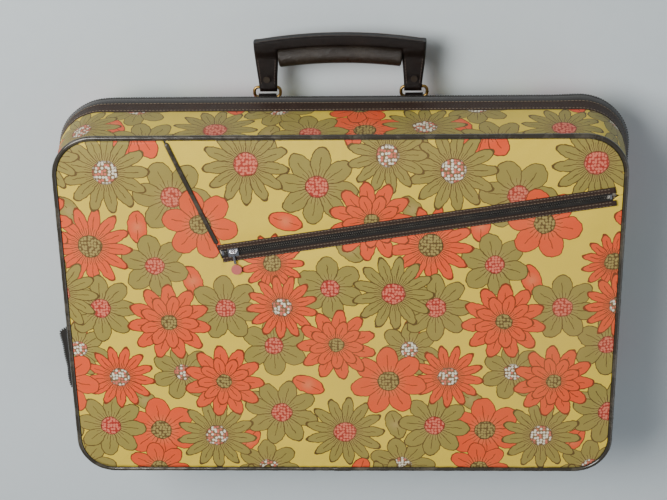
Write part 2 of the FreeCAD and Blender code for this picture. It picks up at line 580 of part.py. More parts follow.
plate_y = "( main_slider_at - slider_run / 2 )"
outer_x = f"( {left_edge} - teeth_half - slider_clear - slider_plate )"
slider_low = "( zip_level - slider_wide / 2 )"
rail_lean = inset("body", f"zip_level - {tape_edge}")
outer_plate = box("main_slider_outer", ("slider_plate", "slider_run", "slider_wide"),
                  (outer_x, plate_y, slider_low))
inner_plate = box("main_slider_inner", ("slider_plate", "slider_run", "slider_wide"),
                  (f"{left_edge} + teeth_half + slider_clear + {rail_lean}", plate_y, slider_low))
main_neck = box("main_slider_neck",
                (f"2 * teeth_half + 2 * slider_clear + slider_plate + {rail_lean}", "neck_run", "neck_high"),
                (f"{left_edge} - teeth_half - slider_clear - slider_plate / 2", plate_y,
                 "zip_level - neck_high / 2"))
main_pin_x = f"( {outer_x} - pin_lift )"
main_pin = rod("main_pin", "eye_pin", "pin_run", (main_pin_x, "main_slider_at", "zip_level - pin_run / 2"))
main_posts = []
for name, start in (("low", "0 - pin_run / 2 - post_thick / 2"), ("high", "pin_run / 2 - post_thick / 2")):
    main_posts.append(box(f"main_post_{name}", ("slider_plate / 2 + post_rise", "post_wide", "post_thick"),
                          (f"{main_pin_x} - post_rise + pin_lift", "main_slider_at - post_wide / 2",
                           f"zip_level + {start}")))
node(fuse("main_slider_fuse", [outer_plate, inner_plate, main_neck, main_pin] + main_posts), "main_slider")
main_eye = rod("main_eye", "eye_pin + eye_clear + eye_arm", "eye_wide",
               (main_pin_x, "main_slider_at", "zip_level - eye_wide / 2"))
main_eye_hole = rod("main_eye_hole", "eye_pin + eye_clear", "pin_run",
                    (main_pin_x, "main_slider_at", "zip_level - pin_run / 2"))
blade = box("main_blade", ("pull_thick", "pull_run - eye_pin - eye_clear", "blade_wide"),
            (f"{main_pin_x} - pull_thick / 2", "main_slider_at + eye_pin + eye_clear",
             "zip_level - blade_wide / 2"))
grip = box("main_blade_grip", ("pull_thick", "pull_run / 2", "pull_wide"),
           (f"{main_pin_x} - pull_thick / 2", "main_slider_at + pull_run / 2", "zip_level - pull_wide / 2"))
node(cut("main_pull_cut", fuse("main_pull_fuse", [main_eye, blade, grip]), main_eye_hole), "main_pull")

# ---------------------------------------------------------------- rings

for side, sign in (("left", "0 - "), ("right", "")):
    body = doc.addObject("PartDesign::Body", f"ring_{side}_body")
    route = plane_sketch(body, "route", "XY_Plane", "handle_level")
    half, tall, bend = 12, 10, 4
    route.addGeometry([
        Part.LineSegment(Vector(bend - half, 0, 0), Vector(half - bend, 0, 0)),
        Part.ArcOfCircle(Part.Circle(Vector(half - bend, bend, 0), Vector(0, 0, 1), bend), -pi / 2, 0),
        Part.LineSegment(Vector(half, bend, 0), Vector(half, tall - bend, 0)),
        Part.ArcOfCircle(Part.Circle(Vector(half - bend, tall - bend, 0), Vector(0, 0, 1), bend), 0, pi / 2),
        Part.LineSegment(Vector(half - bend, tall, 0), Vector(bend - half, tall, 0)),
        Part.ArcOfCircle(Part.Circle(Vector(bend - half, tall - bend, 0), Vector(0, 0, 1), bend), pi / 2, pi),
        Part.LineSegment(Vector(-half, tall - bend, 0), Vector(-half, bend, 0)),
        Part.ArcOfCircle(Part.Circle(Vector(bend - half, bend, 0), Vector(0, 0, 1), bend), pi, 1.5 * pi),
    ], False)
    for edge in range(8):
        route.addConstraint(Constraint("Tangent", edge, 2, (edge + 1) % 8, 1))
    for edge, way in ((0, "Horizontal"), (2, "Vertical"), (4, "Horizontal"), (6, "Vertical")):
        route.addConstraint(Constraint(way, edge))
    for edge in (3, 5, 7):
        route.addConstraint(Constraint("Equal", 1, edge))
    add_dimension(route, Constraint("DistanceX", 6, 1, 2, 2, 2 * half), "ring_wide")
    add_dimension(route, Constraint("DistanceY", 0, 1, 4, 1, tall), "ring_tall")
    add_dimension(route, Constraint("Radius", 1, bend), "ring_round")
    add_dimension(route, Constraint("DistanceX", -1, 1, 6, 1, -half), f"{sign}leg_x - ring_wide / 2")
    add_dimension(route, Constraint("DistanceY", -1, 1, 0, 1, 0.001), ring_y)
    wire = body.newObject("PartDesign::AdditivePipe", "wire")
    section = plane_sketch(body, "section", "YZ_Plane", f"{sign}leg_x")
    section.addGeometry(Part.Circle(Vector(190, 38, 0), Vector(0, 0, 1), 1), False)
    add_dimension(section, Constraint("Radius", 0, 1), "wire_radius")
    add_dimension(section, Constraint("DistanceX", -1, 1, 0, 3, 190), ring_y)
    add_dimension(section, Constraint("DistanceY", -1, 1, 0, 3, 38), "handle_level")
    wire.Profile, wire.Spine = section, route
    body.Tip = wire
    node(body, f"ring_{side}")

# ---------------------------------------------------------------- handle

bar_y = f"( {ring_y} + ring_tall )"
crown_y = f"( {gusset_y} + handle_rise )"
arch_radius = "( ( handle_half ^ 2 + arch_sag ^ 2 ) / ( 2 * arch_sag ) )"
arch_y = f"( {crown_y} - {arch_radius} )"
arch_half = f"asin ( handle_half / {arch_radius} )"


def arch_sector(name, radius, thick, half_angle):
    item = doc.addObject("Part::Cylinder", name)
    bind(item, "Radius", radius)
    bind(item, "Height", thick)
    bind(item, "Angle", f"2 * {half_angle}")
    return place(item, ("0", arch_y, f"handle_level - {thick} / 2"), up, f"90 deg - {half_angle}")


def arch_band(name, outer, deep, thick, half_angle):
    whole = arch_sector(name + "_out", outer, thick, half_angle)
    inside = arch_sector(name + "_in", f"{outer} - {deep}", f"( {thick} + 2 )", f"( {half_angle} + 1 deg )")
    return cut(name, whole, inside)


band = arch_band("band", arch_radius, "band_deep", "band_thick", arch_half)
core_out = f"( {arch_radius} - ( band_deep - core_deep ) / 2 )"
core_angle = f"asin ( ( handle_half - 6 ) / {arch_radius} )"
node(arch_band("core", core_out, "core_deep", "core_thick", core_angle), "handle_core")
core_tool = arch_band("core_tool", core_out, "core_deep", "core_thick", core_angle)
shoulder_y = f"( {crown_y} - arch_sag )"
legs, bores, pins = [], [], []
for side, sign in (("left", "0 - "), ("right", "")):
    foot, head = f"( {sign}leg_x )", f"( {sign}( handle_half - leg_head / 2 - 0.5 ) )"
    ankle = f"( {bar_y} - leg_thick / 2 )"
    legs.append(prism(f"leg_{side}", [
        (f"{foot} - leg_foot / 2", ankle), (f"{foot} + leg_foot / 2", ankle),
        (f"{head} + leg_head / 2", f"{shoulder_y} - 3"), (f"{head} - leg_head / 2", f"{shoulder_y} - 3")],
        "handle_level - leg_thick / 2", "leg_thick"))
    bores.append(rod(f"leg_bore_{side}", "wire_radius + ring_clear", "leg_foot + 8",
                     (f"{foot} - leg_foot / 2 - 4", bar_y, "handle_level"), side_turn, "90"))
    pin_at = (foot, f"{bar_y} + 9")
    shank = rod(f"end_shank_{side}", "rivet_radius", "leg_thick + 2 * rivet_cap",
                pin_at + ("handle_level - leg_thick / 2 - rivet_cap",))
    front = rod(f"end_front_{side}", "rivet_head", "rivet_cap",
                pin_at + ("handle_level + leg_thick / 2",))
    rear = rod(f"end_rear_{side}", "rivet_head", "rivet_cap",
               pin_at + ("handle_level - leg_thick / 2 - rivet_cap",))
    pins.append(fuse(f"end_rivet_{side}", [shank, front, rear]))
node(fuse("end_rivets", pins), "handle_end_rivets")
pin_tool = fuse("pin_tool", pins)
handle_solid = fuse("handle_solid", [band] + legs)
handle_tools = fuse("handle_tools", bores + [core_tool, pin_tool])
node(cut("handle_cut", handle_solid, handle_tools), "handle_cover")

roll = doc.addObject("Part::Torus", "grip_roll")
roll_path = f"( {arch_radius} - band_deep - grip_radius - skin_gap )"
roll_half = f"asin ( ( finger_half - 1 ) / {roll_path} )"
bind(roll, "Radius1", roll_path)
bind(roll, "Radius2", "grip_radius")
bind(roll, "Angle3", f"2 * {roll_half}")
place(roll, ("0", arch_y, "handle_level"), up, f"90 deg - {roll_half}")
node(roll, "handle_padding")

# ---------------------------------------------------------------- checks and files

doc.recompute()
for item in doc.Objects:
    if "Invalid" in item.State or "Error" in item.State:
        raise RuntimeError(f"{item.Label} did not build: {item.State}")
for label, item in nodes.items():
    if item.Shape.isNull() or not item.Shape.isValid() or not item.Shape.Solids:
        raise RuntimeError(f"{label} is not a valid solid")
os.makedirs("parts", exist_ok=True)
for label, item in nodes.items():
    item.Shape.exportStep(f"parts/{label}.step")
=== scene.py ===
"""Looks of a soft-sided zip suitcase: printed cloth, vinyl trim, zips, handle and lining on the frame."""
import json
import logging
import math
from dataclasses import dataclass, field
from enum import Enum
from typing import Optional, Sequence

import bmesh
import bpy
import numpy as np
from mathutils import Matrix, Vector

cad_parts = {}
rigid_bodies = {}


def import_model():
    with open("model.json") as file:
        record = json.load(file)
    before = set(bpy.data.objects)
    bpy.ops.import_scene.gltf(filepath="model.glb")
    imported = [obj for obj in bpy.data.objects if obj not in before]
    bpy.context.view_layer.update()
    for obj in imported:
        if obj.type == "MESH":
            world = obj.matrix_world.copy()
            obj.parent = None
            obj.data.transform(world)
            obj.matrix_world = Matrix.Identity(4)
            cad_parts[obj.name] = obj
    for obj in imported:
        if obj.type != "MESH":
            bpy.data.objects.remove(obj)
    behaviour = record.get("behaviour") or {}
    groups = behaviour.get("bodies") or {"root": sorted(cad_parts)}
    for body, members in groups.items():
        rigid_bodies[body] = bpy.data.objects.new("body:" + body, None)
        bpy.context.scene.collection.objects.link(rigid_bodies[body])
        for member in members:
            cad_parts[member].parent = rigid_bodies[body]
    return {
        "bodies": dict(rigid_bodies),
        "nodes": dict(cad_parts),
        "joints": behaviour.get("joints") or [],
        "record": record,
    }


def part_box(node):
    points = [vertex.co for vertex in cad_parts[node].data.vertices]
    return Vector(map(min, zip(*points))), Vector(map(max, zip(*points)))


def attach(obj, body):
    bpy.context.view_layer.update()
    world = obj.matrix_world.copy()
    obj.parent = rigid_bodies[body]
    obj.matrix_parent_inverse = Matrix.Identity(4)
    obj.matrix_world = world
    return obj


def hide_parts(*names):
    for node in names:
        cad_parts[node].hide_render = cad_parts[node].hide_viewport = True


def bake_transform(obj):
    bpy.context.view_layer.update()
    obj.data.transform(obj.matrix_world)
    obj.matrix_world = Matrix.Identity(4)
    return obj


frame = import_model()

LOG = logging.getLogger("suitcase")
Colour = tuple[float, float, float]


def shade(red: int, green: int, blue: int) -> Colour:
    """Linear colour of an sRGB triple from 0 to 255."""
    def linear(level: float) -> float:
        """Linear value of one sRGB channel."""
        return level / 12.92 if level <= 0.04045 else ((level + 0.055) / 1.055) ** 2.4
    return linear(red / 255), linear(green / 255), linear(blue / 255)


def smooth(low: float, high: float, value: np.ndarray) -> np.ndarray:
    """Rise from 0 at low to 1 at high along 3t^2 - 2t^3."""
    t = np.clip((value - low) / (high - low), 0, 1)
    return t * t * (3 - 2 * t)


def unit(vectors: np.ndarray) -> np.ndarray:
    """Vectors scaled to a length of one."""
    return vectors / np.linalg.norm(vectors, axis=-1, keepdims=True)


def sample(at: np.ndarray, along: np.ndarray, values: np.ndarray) -> np.ndarray:
    """Rows of values, such as places on a line, at other lengths along it."""
    return np.stack([np.interp(at, along, column) for column in values.T], 1)


def ripple(u: np.ndarray, v: np.ndarray, seed: int, waves: int = 7, pitch: float = 60.0) -> np.ndarray:
    """Soft uneven surface from -1 to 1: a sum of plane sine waves whose directions come from a seed."""
    draw = np.random.default_rng(seed)
    total = np.zeros(np.broadcast(u, v).shape)
    for _ in range(waves):
        turn, size, start = draw.uniform(0, 2 * math.pi), draw.uniform(0.4, 1.3) * pitch, draw.uniform(0, 7)
        total = total + np.sin(size * (u * math.cos(turn) + v * math.sin(turn)) + start)
    return total / waves


# ---------------------------------------------------------------- outline and paths

@dataclass
class Route:
    """Line that pieces are swept along: places, outward and upward directions, and the length so far."""
    places: np.ndarray
    outward: np.ndarray
    upward: np.ndarray
    along: np.ndarray
    closed: bool = False

    def part(self, mask: np.ndarray) -> "Route":
        """The stretch of the route where the mask holds."""
        return Route(self.places[mask], self.outward[mask], self.upward[mask], self.along[mask])


@dataclass
class CaseForm:
    """Outer form of the case in metres; its walls lean in from the zip towards both faces."""
    wide: float = 0.542
    tall: float = 0.370
    round_top: float = 0.046
    round_low: float = 0.042
    zip_level: float = 0.056
    front_level: float = 0.136
    flare: float = 0.009
    back_inset: float = 0.022
    zip_end_half: float = 0.212
    flange_top: float = 0.0027
    flange_right: float = 0.0039

    def inset(self, level: np.ndarray | float) -> np.ndarray:
        """How far the wall has leaned in at a level: straight lines from the zip to each face."""
        level = np.asarray(level, float)
        front = self.flare * (level - self.zip_level) / (self.front_level - self.zip_level)
        back = self.back_inset * (self.zip_level - level) / self.zip_level
        return np.where(level > self.zip_level, front, back)

    def outline(self, count: int) -> Route:
        """Rounded rectangle at the zip, from the bottom's middle and against the clock, evenly spaced.

        Args:
            count: number of places round the outline.

        Returns:
            A closed route whose outward directions are the outline's normals.
        """
        x, y, top, low = self.wide / 2, self.tall / 2, self.round_top, self.round_low
        corners = ((x - low, low - y, low, -90), (x - top, y - top, top, 0),
                   (top - x, y - top, top, 90), (low - x, low - y, low, 180))
        fine = np.linspace(0, 1, 60)
        places, normals = [np.array([[0.0, -y]])], [np.array([[0.0, -1.0]])]
        for centre_x, centre_y, radius, start in corners:
            turn = np.radians(start + 90 * fine)
            ray = np.stack([np.cos(turn), np.sin(turn)], 1)
            places.append(np.array([centre_x, centre_y]) + radius * ray)
            normals.append(ray)
        places.append(np.array([[0.0, -y]]))
        normals.append(np.array([[0.0, -1.0]]))
        line, normal = np.concatenate(places), np.concatenate(normals)
        length = np.concatenate([[0], np.cumsum(np.linalg.norm(np.diff(line, axis=0), axis=1))])
        along = np.linspace(0, length[-1], count, endpoint=False)
        flat = [np.interp(along, length, column) for column in (*line.T, *normal.T)]
        outward = unit(np.stack([flat[2], flat[3], np.zeros(count)], 1))
        return Route(np.stack([flat[0], flat[1], np.zeros(count)], 1), outward,
                     np.tile([0.0, 0.0, 1.0], (count, 1)), along, closed=True)

    def flange(self, route: Route) -> np.ndarray:
        """How far the zip stands proud of the wall: most along the right and top, nothing at the bottom."""
        top = smooth(0.03, 0.15, route.places[:, 1])
        right = smooth(0.12, 0.25, route.places[:, 0]) * smooth(-0.17, -0.06, route.places[:, 1])
        left = 1 - smooth(-0.255, -0.21, route.places[:, 0])
        return np.maximum(self.flange_top * top * (1 - 0.85 * left), self.flange_right * right)

    def wall(self, route: Route, offset: np.ndarray | float, level: np.ndarray | float) -> np.ndarray:
        """Points on the leaning wall: the outline moved out by the offset less the lean at that level."""
        offset, level = np.broadcast_arrays(np.asarray(offset, float), np.asarray(level, float))
        if offset.ndim == 0:
            offset, level = offset[None], level[None]
        if offset.ndim == 1:
            offset, level = offset[None, :], level[None, :]
        push = (offset - self.inset(level))[..., None]
        lift = route.upward[:, None] * level[..., None]
        return route.places[:, None] + route.outward[:, None] * push + lift


# ---------------------------------------------------------------- mesh stock

@dataclass
class MeshStock:
    """Collects grids and repeated shapes and turns them into one object."""
    verts: list = field(default_factory=list)
    faces: list = field(default_factory=list)
    uvs: list = field(default_factory=list)
    count: int = 0

    def grid(self, points: np.ndarray, uv: Optional[np.ndarray] = None, wrap_u: bool = False,
             wrap_v: bool = False, flip: bool = False, keep: Optional[np.ndarray] = None) -> "MeshStock":
        """Add a grid of quads.

        Args:
            points: places, shaped (rows, columns, 3).
            uv: cloth coordinates, with one more row or column where the grid wraps.
            wrap_u: join the last row to the first.
            wrap_v: join the last column to the first.
            flip: turn the faces round.
            keep: which places stay; a quad stays where all its corners do.
        """
        rows, cols = points.shape[:2]
        i, j = np.meshgrid(np.arange(rows if wrap_u else rows - 1), np.arange(cols if wrap_v else cols - 1),
                           indexing="ij")
        i, j = i.ravel(), j.ravel()
        order = (0, 3, 2, 1) if flip else (0, 1, 2, 3)
        step_i = np.stack([i, i + 1, i + 1, i], 1)[:, order]
        step_j = np.stack([j, j, j + 1, j + 1], 1)[:, order]
        corner = (step_i % rows) * cols + step_j % cols
        if uv is None:
            uv = np.zeros((rows + wrap_u, cols + wrap_v, 2))
        loops = uv[step_i, step_j]
        if keep is not None:
            stay = keep.ravel()[corner].all(1)
            corner, loops = corner[stay], loops[stay]
        self.verts.append(points.reshape(-1, 3))
        self.faces.append(corner + self.count)
        self.uvs.append(loops.reshape(-1, 2))
        self.count += rows * cols
        return self

    def copies(self, shape: np.ndarray, quads: np.ndarray, places: np.ndarray,
               frames: np.ndarray) -> "MeshStock":
        """Add a small shape at many places: point = place + shape turned by that place's frame."""
        points = places[:, None] + np.einsum("kc,ncd->nkd", shape, frames)
        start = (np.arange(len(places)) * len(shape))[:, None, None] + self.count
        self.verts.append(points.reshape(-1, 3))
        self.faces.append((quads[None] + start).reshape(-1, 4))
        self.uvs.append(np.zeros((len(places) * len(quads) * 4, 2)))
        self.count += points.shape[0] * points.shape[1]
        return self

    def build(self, name: str, finish: "Finish", body: Optional[str] = None, slot: Optional[str] = None,
              crisp: bool = False) -> bpy.types.Object:
        """Make the object, dress it and let it ride on its body."""
        mesh = bpy.data.meshes.new(name)
        mesh.from_pydata(np.concatenate(self.verts).tolist(), [], np.concatenate(self.faces).tolist())
        layer = mesh.uv_layers.new(name="cloth")
        layer.data.foreach_set("uv", np.concatenate(self.uvs).ravel())
        mesh.validate()
        used = np.zeros(len(mesh.vertices), bool)
        index = np.zeros(len(mesh.loops), int)
        mesh.loops.foreach_get("vertex_index", index)
        used[index] = True
        if not used.all():
            shell = bmesh.new()
            shell.from_mesh(mesh)
            bmesh.ops.delete(shell, geom=[v for v in shell.verts if not v.link_faces], context="VERTS")
            shell.to_mesh(mesh)
            shell.free()
        mesh.polygons.foreach_set("use_smooth", np.full(len(mesh.polygons), not crisp))
        piece = bpy.data.objects.new(name, mesh)
        bpy.context.collection.objects.link(piece)
        piece.data.materials.append(finish.material())
        if body:
            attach(piece, body)
        LOG.info("%s: %d faces", name, len(mesh.polygons))
        return piece


def thicken(piece: bpy.types.Object, thick: float, outward: float = -1.0) -> None:
    """Give a sheet its thickness, inwards from its outer face unless told otherwise."""
    solid = piece.modifiers.new("thickness", "SOLIDIFY")
    solid.thickness, solid.offset = thick, outward


def brick(long: float, wide: float, high: float, pinch: float = 0.75) -> tuple[np.ndarray, np.ndarray]:
    """Small block with a narrower top: eight corners and six quads, centred on its base's middle."""
    x, y = long / 2, wide / 2
    low = np.array([[-x, -y, 0], [x, -y, 0], [x, y, 0], [-x, y, 0]])
    top = low * [pinch, pinch, 1] + [0, 0, high]
    quads = np.array([[3, 2, 1, 0], [4, 5, 6, 7], [0, 1, 5, 4], [1, 2, 6, 5], [2, 3, 7, 6], [3, 0, 4, 7]])
    return np.concatenate([low, top]), quads


def capsule(long: float, thick: float) -> tuple[np.ndarray, np.ndarray]:
    """Stitch: a short thread that sinks into the cloth at both ends, six-sided, in five rings."""
    t = np.linspace(-1, 1, 5)
    turn = np.arange(6) * math.pi / 3
    radius = thick / 2 * np.sqrt(1 - 0.85 * t ** 2)
    arch = np.repeat(thick * 0.35 * (1 - 1.4 * t ** 2), 6)
    rings = np.stack([np.repeat(t * long / 2, 6), (radius[:, None] * np.cos(turn)).ravel(),
                      (radius[:, None] * np.sin(turn)).ravel() + arch], 1)
    i, j = np.meshgrid(np.arange(4), np.arange(6), indexing="ij")
    quads = np.stack([i * 6 + j, i * 6 + (j + 1) % 6, (i + 1) * 6 + (j + 1) % 6, (i + 1) * 6 + j], -1)
    caps = np.array([[0, 3, 2, 1], [0, 5, 4, 3], [24, 25, 26, 27], [24, 27, 28, 29]])
    return rings, np.concatenate([quads.reshape(-1, 4), caps])


def tube(centre: np.ndarray, radius: np.ndarray | float, sides: int = 16, closed: bool = False) -> np.ndarray:
    """Round rod about a line: each ring is square to the line, turned with the least twist."""
    ahead = np.roll(centre, -1, 0) - np.roll(centre, 1, 0)
    if not closed:
        ahead[0], ahead[-1] = centre[1] - centre[0], centre[-1] - centre[-2]
    ahead = unit(ahead)
    guide = np.array([0.0, 0.0, 1.0]) if abs(ahead[0][2]) < 0.9 else np.array([1.0, 0.0, 0.0])
    side = unit(np.cross(ahead, guide))
    other = np.cross(side, ahead)
    turn = np.arange(sides) * 2 * math.pi / sides
    radius = np.broadcast_to(np.asarray(radius, float), (len(centre),))
    return (centre[:, None] + radius[:, None, None] * (side[:, None] * np.cos(turn)[None, :, None]
                                                      + other[:, None] * np.sin(turn)[None, :, None]))


# ---------------------------------------------------------------- finishes

class Bench:
    """Small helper that adds nodes to a tree and joins their sockets."""

    def __init__(self, tree: bpy.types.NodeTree) -> None:
        """Keep the tree that the nodes go into."""
        self.tree = tree

    def give(self, socket: bpy.types.NodeSocket, value: object) -> None:
        """Link a socket to another, or set it to a number, a vector or a colour."""
        if isinstance(value, bpy.types.NodeSocket):
            self.tree.links.new(value, socket)
        elif isinstance(value, tuple) and socket.type == "RGBA":
            socket.default_value = (*value, 1.0)
        elif value is not None:
            socket.default_value = value

    def node(self, kind: str, inputs: Optional[dict] = None, **settings: object) -> bpy.types.Node:
        """Add a node, set its properties, and link or set its inputs."""
        made = self.tree.nodes.new(kind)
        for name, value in settings.items():
            setattr(made, name, value)
        for key, value in (inputs or {}).items():
            self.give(made.inputs[key], value)
        return made

    def math(self, how: str, *values: object, clamp: bool = False) -> bpy.types.NodeSocket:
        """Result of one arithmetic step."""
        inputs = {number: value for number, value in enumerate(values)}
        return self.node("ShaderNodeMath", inputs, operation=how, use_clamp=clamp).outputs[0]

    def above(self, value: object, floor: float, gain: float) -> bpy.types.NodeSocket:
        """How far a value is above a floor, times a gain, held between 0 and 1."""
        return self.math("MULTIPLY", self.math("SUBTRACT", value, floor, clamp=True), gain, clamp=True)

    def vector(self, how: str, *values: object) -> bpy.types.Node:
        """One vector step; the caller takes its Vector or Value output."""
        inputs = {number: value for number, value in enumerate(values)}
        return self.node("ShaderNodeVectorMath", inputs, operation=how)

    def mix(self, share: object, first: object, second: object) -> bpy.types.NodeSocket:
        """Colour between two colours."""
        made = self.node("ShaderNodeMix", data_type="RGBA", clamp_factor=True)
        for key, value in ((0, share), (6, first), (7, second)):
            self.give(made.inputs[key], value)
        return made.outputs[2]

    def noise(self, where: object, scale: float, detail: float = 3.0,
              rough: float = 0.5) -> bpy.types.NodeSocket:
        """Smooth random value from 0 to 1."""
        return self.node("ShaderNodeTexNoise", {"Vector": where, "Scale": scale, "Detail": detail,
                                                "Roughness": rough}).outputs["Fac"]

    def streaks(self, where: object, scale: tuple[float, float, float], detail: float,
                rough: float = 0.5) -> bpy.types.NodeSocket:
        """Noise drawn out along one axis: fibres or scratches."""
        drawn = self.node("ShaderNodeMapping", {"Vector": where, "Scale": scale}).outputs[0]
        return self.noise(drawn, 1.0, detail, rough)

    def bump(self, height: object, depth: float, strength: float = 1.0,
             under: object = None) -> bpy.types.NodeSocket:
        """Surface direction bent by a height."""
        return self.node("ShaderNodeBump", {"Height": height, "Strength": strength, "Distance": depth,
                                            "Normal": under}).outputs[0]


class Finish:
    """A finish that makes its material once and hands it out again."""
    name = "finish"
    _made: dict[str, bpy.types.Material] = {}

    def material(self) -> bpy.types.Material:
        """The finish's material, made on first use."""
        if self.name not in Finish._made:
            made = bpy.data.materials.new(self.name)
            made.use_nodes = True
            tree = made.node_tree
            tree.nodes.clear()
            bench = Bench(tree)
            shader = bench.node("ShaderNodeBsdfPrincipled")
            out = bench.node("ShaderNodeOutputMaterial")
            tree.links.new(shader.outputs[0], out.inputs[0])
            self.dress(bench, shader)
            Finish._made[self.name] = made
        return Finish._made[self.name]

    def dress(self, bench: Bench, shader: bpy.types.Node) -> None:
        """Fill in the shader; each finish has its own."""
        raise NotImplementedError

    @staticmethod
    def join(bench: Bench, shader: bpy.types.Node, **sockets: object) -> None:
        """Link or set the shader's inputs by name, with underscores for spaces."""
        for key, value in sockets.items():
            bench.give(shader.inputs[key.replace("_", " ")], value)


class Heart(Enum):
    """What stands in the middle of a flower."""
    RED = "red"
    PALE = "pale"
    OLIVE = "olive"
    LEAF = "leaf"


@dataclass(frozen=True)
class Bloom:
    """One flower or leaf of the print, placed in centimetres on the repeat."""
    across: float
    up: float
    radius: float
    petals: int
    width: float
    middle: float
    coral: bool
    heart: Heart
    turn: float = 0.0


def daisy(across: float, up: float, coral: bool, heart: Heart, radius: float = 3.9,
          turn: float = 0.0) -> Bloom:
    """Flower with many narrow petals."""
    return Bloom(across, up, radius, 13, 0.150, 0.60, coral, heart, turn)


def rose(across: float, up: float, coral: bool, heart: Heart, radius: float = 3.7, turn: float = 0.0,
         petals: int = 7) -> Bloom:
    """Flower with few broad round petals."""
    width = 0.60 * math.sin(math.pi / petals) * 1.10
    return Bloom(across, up, radius, petals, width, 0.60, coral, heart, turn)


def leaf(across: float, up: float, coral: bool, turn: float) -> Bloom:
    """Single leaf that fills a gap."""
    return Bloom(across, up, 1.7, 2, 0.56, 0.0, coral, Heart.LEAF, turn)


BLOOMS: tuple[Bloom, ...] = (
    leaf(-5, 9.5, True, 0.1), leaf(-18.9, 9.0, True, 0.5), leaf(-14, 3.4, True, 0.4),
    leaf(-3.3, -7.9, True, 0.15), leaf(5.2, -12.4, False, 0.4), leaf(6.6, -2.4, True, 0.55),
    leaf(-19.4, -9.6, False, 0.2), leaf(-9.4, -14.2, True, 0.7), leaf(0.9, 6.6, False, 0.25),
    leaf(-25.2, 10.6, False, 0.3), leaf(-8.2, -9.6, False, 0.1), leaf(1.6, -17.9, True, 0.6),
    rose(-25.5, -4, False, Heart.PALE, 3.0, 0.3), rose(-15.5, -6.5, False, Heart.PALE, 3.1, 0.1),
    rose(-7.5, -17.4, False, Heart.PALE, 3.3, 0.2), rose(5.8, -17.2, False, Heart.PALE, 3.4),
    rose(-17.5, 5, False, Heart.RED, 3.3, 0.3, 6), rose(-1, 2.6, False, Heart.RED, 3.3, 0.4, 6),
    rose(-6.5, -3.6, False, Heart.RED, 3.3, 0.5, 6), daisy(-6.4, 5.2, True, Heart.OLIVE, 3.1),
    rose(-2, 13, False, Heart.RED, 3.9, 0.2, 8), rose(-15.5, 12, False, Heart.RED, 3.7, 0.1, 6),
    rose(-11, 0.5, False, Heart.RED, 3.5, 0.2), daisy(-23.5, 7, True, Heart.OLIVE, 4.1, 0.2),
    rose(-18, -13, True, Heart.OLIVE, 3.7, 0.4, 6), rose(-18.5, -17.6, True, Heart.OLIVE, 3.2, 0.1),
    daisy(-21.5, 14.5, False, Heart.PALE, 4.2), daisy(-8.5, 15.2, False, Heart.RED, 4.1, 0.3),
    daisy(4.5, 16.0, False, Heart.PALE, 3.8), rose(-6, -11, False, Heart.RED, 3.7, 0.35, 8),
    rose(-23, 0.5, False, Heart.RED, 3.6, 0.0, 8), rose(-23, -12.5, False, Heart.RED, 3.6, 0.15, 8),
    daisy(5, 2, False, Heart.RED, 4.0, 0.1), daisy(-12.5, -13.6, False, Heart.PALE, 4.0, 0.2),
    daisy(0.2, -13.2, False, Heart.RED, 4.0), daisy(-21.7, -7, True, Heart.PALE, 3.5, 0.3),
    daisy(-5.6, 0.6, True, Heart.PALE, 3.5, 0.4), rose(-13, 9.2, True, Heart.OLIVE, 3.6, 0.2, 6),
    rose(-16.5, -1, True, Heart.OLIVE, 4.1, 0.3, 11), rose(-16.5, -1, True, Heart.OLIVE, 2.9, 0.1, 9),
    rose(-11.5, -7.5, True, Heart.OLIVE, 4.0, 0.1, 11), rose(-11.5, -7.5, True, Heart.OLIVE, 2.7, 0.4, 9),
    rose(4.5, -7.5, True, Heart.OLIVE, 3.8, 0.2), rose(-0.5, -3.5, True, Heart.OLIVE, 3.9, 0.45, 11),
    rose(-0.5, -3.5, True, Heart.OLIVE, 2.7, 0.2, 9), rose(3, 9.5, True, Heart.OLIVE, 4.1, 0, 11),
    rose(3, 9.5, True, Heart.OLIVE, 2.8, 0.3, 9),
)


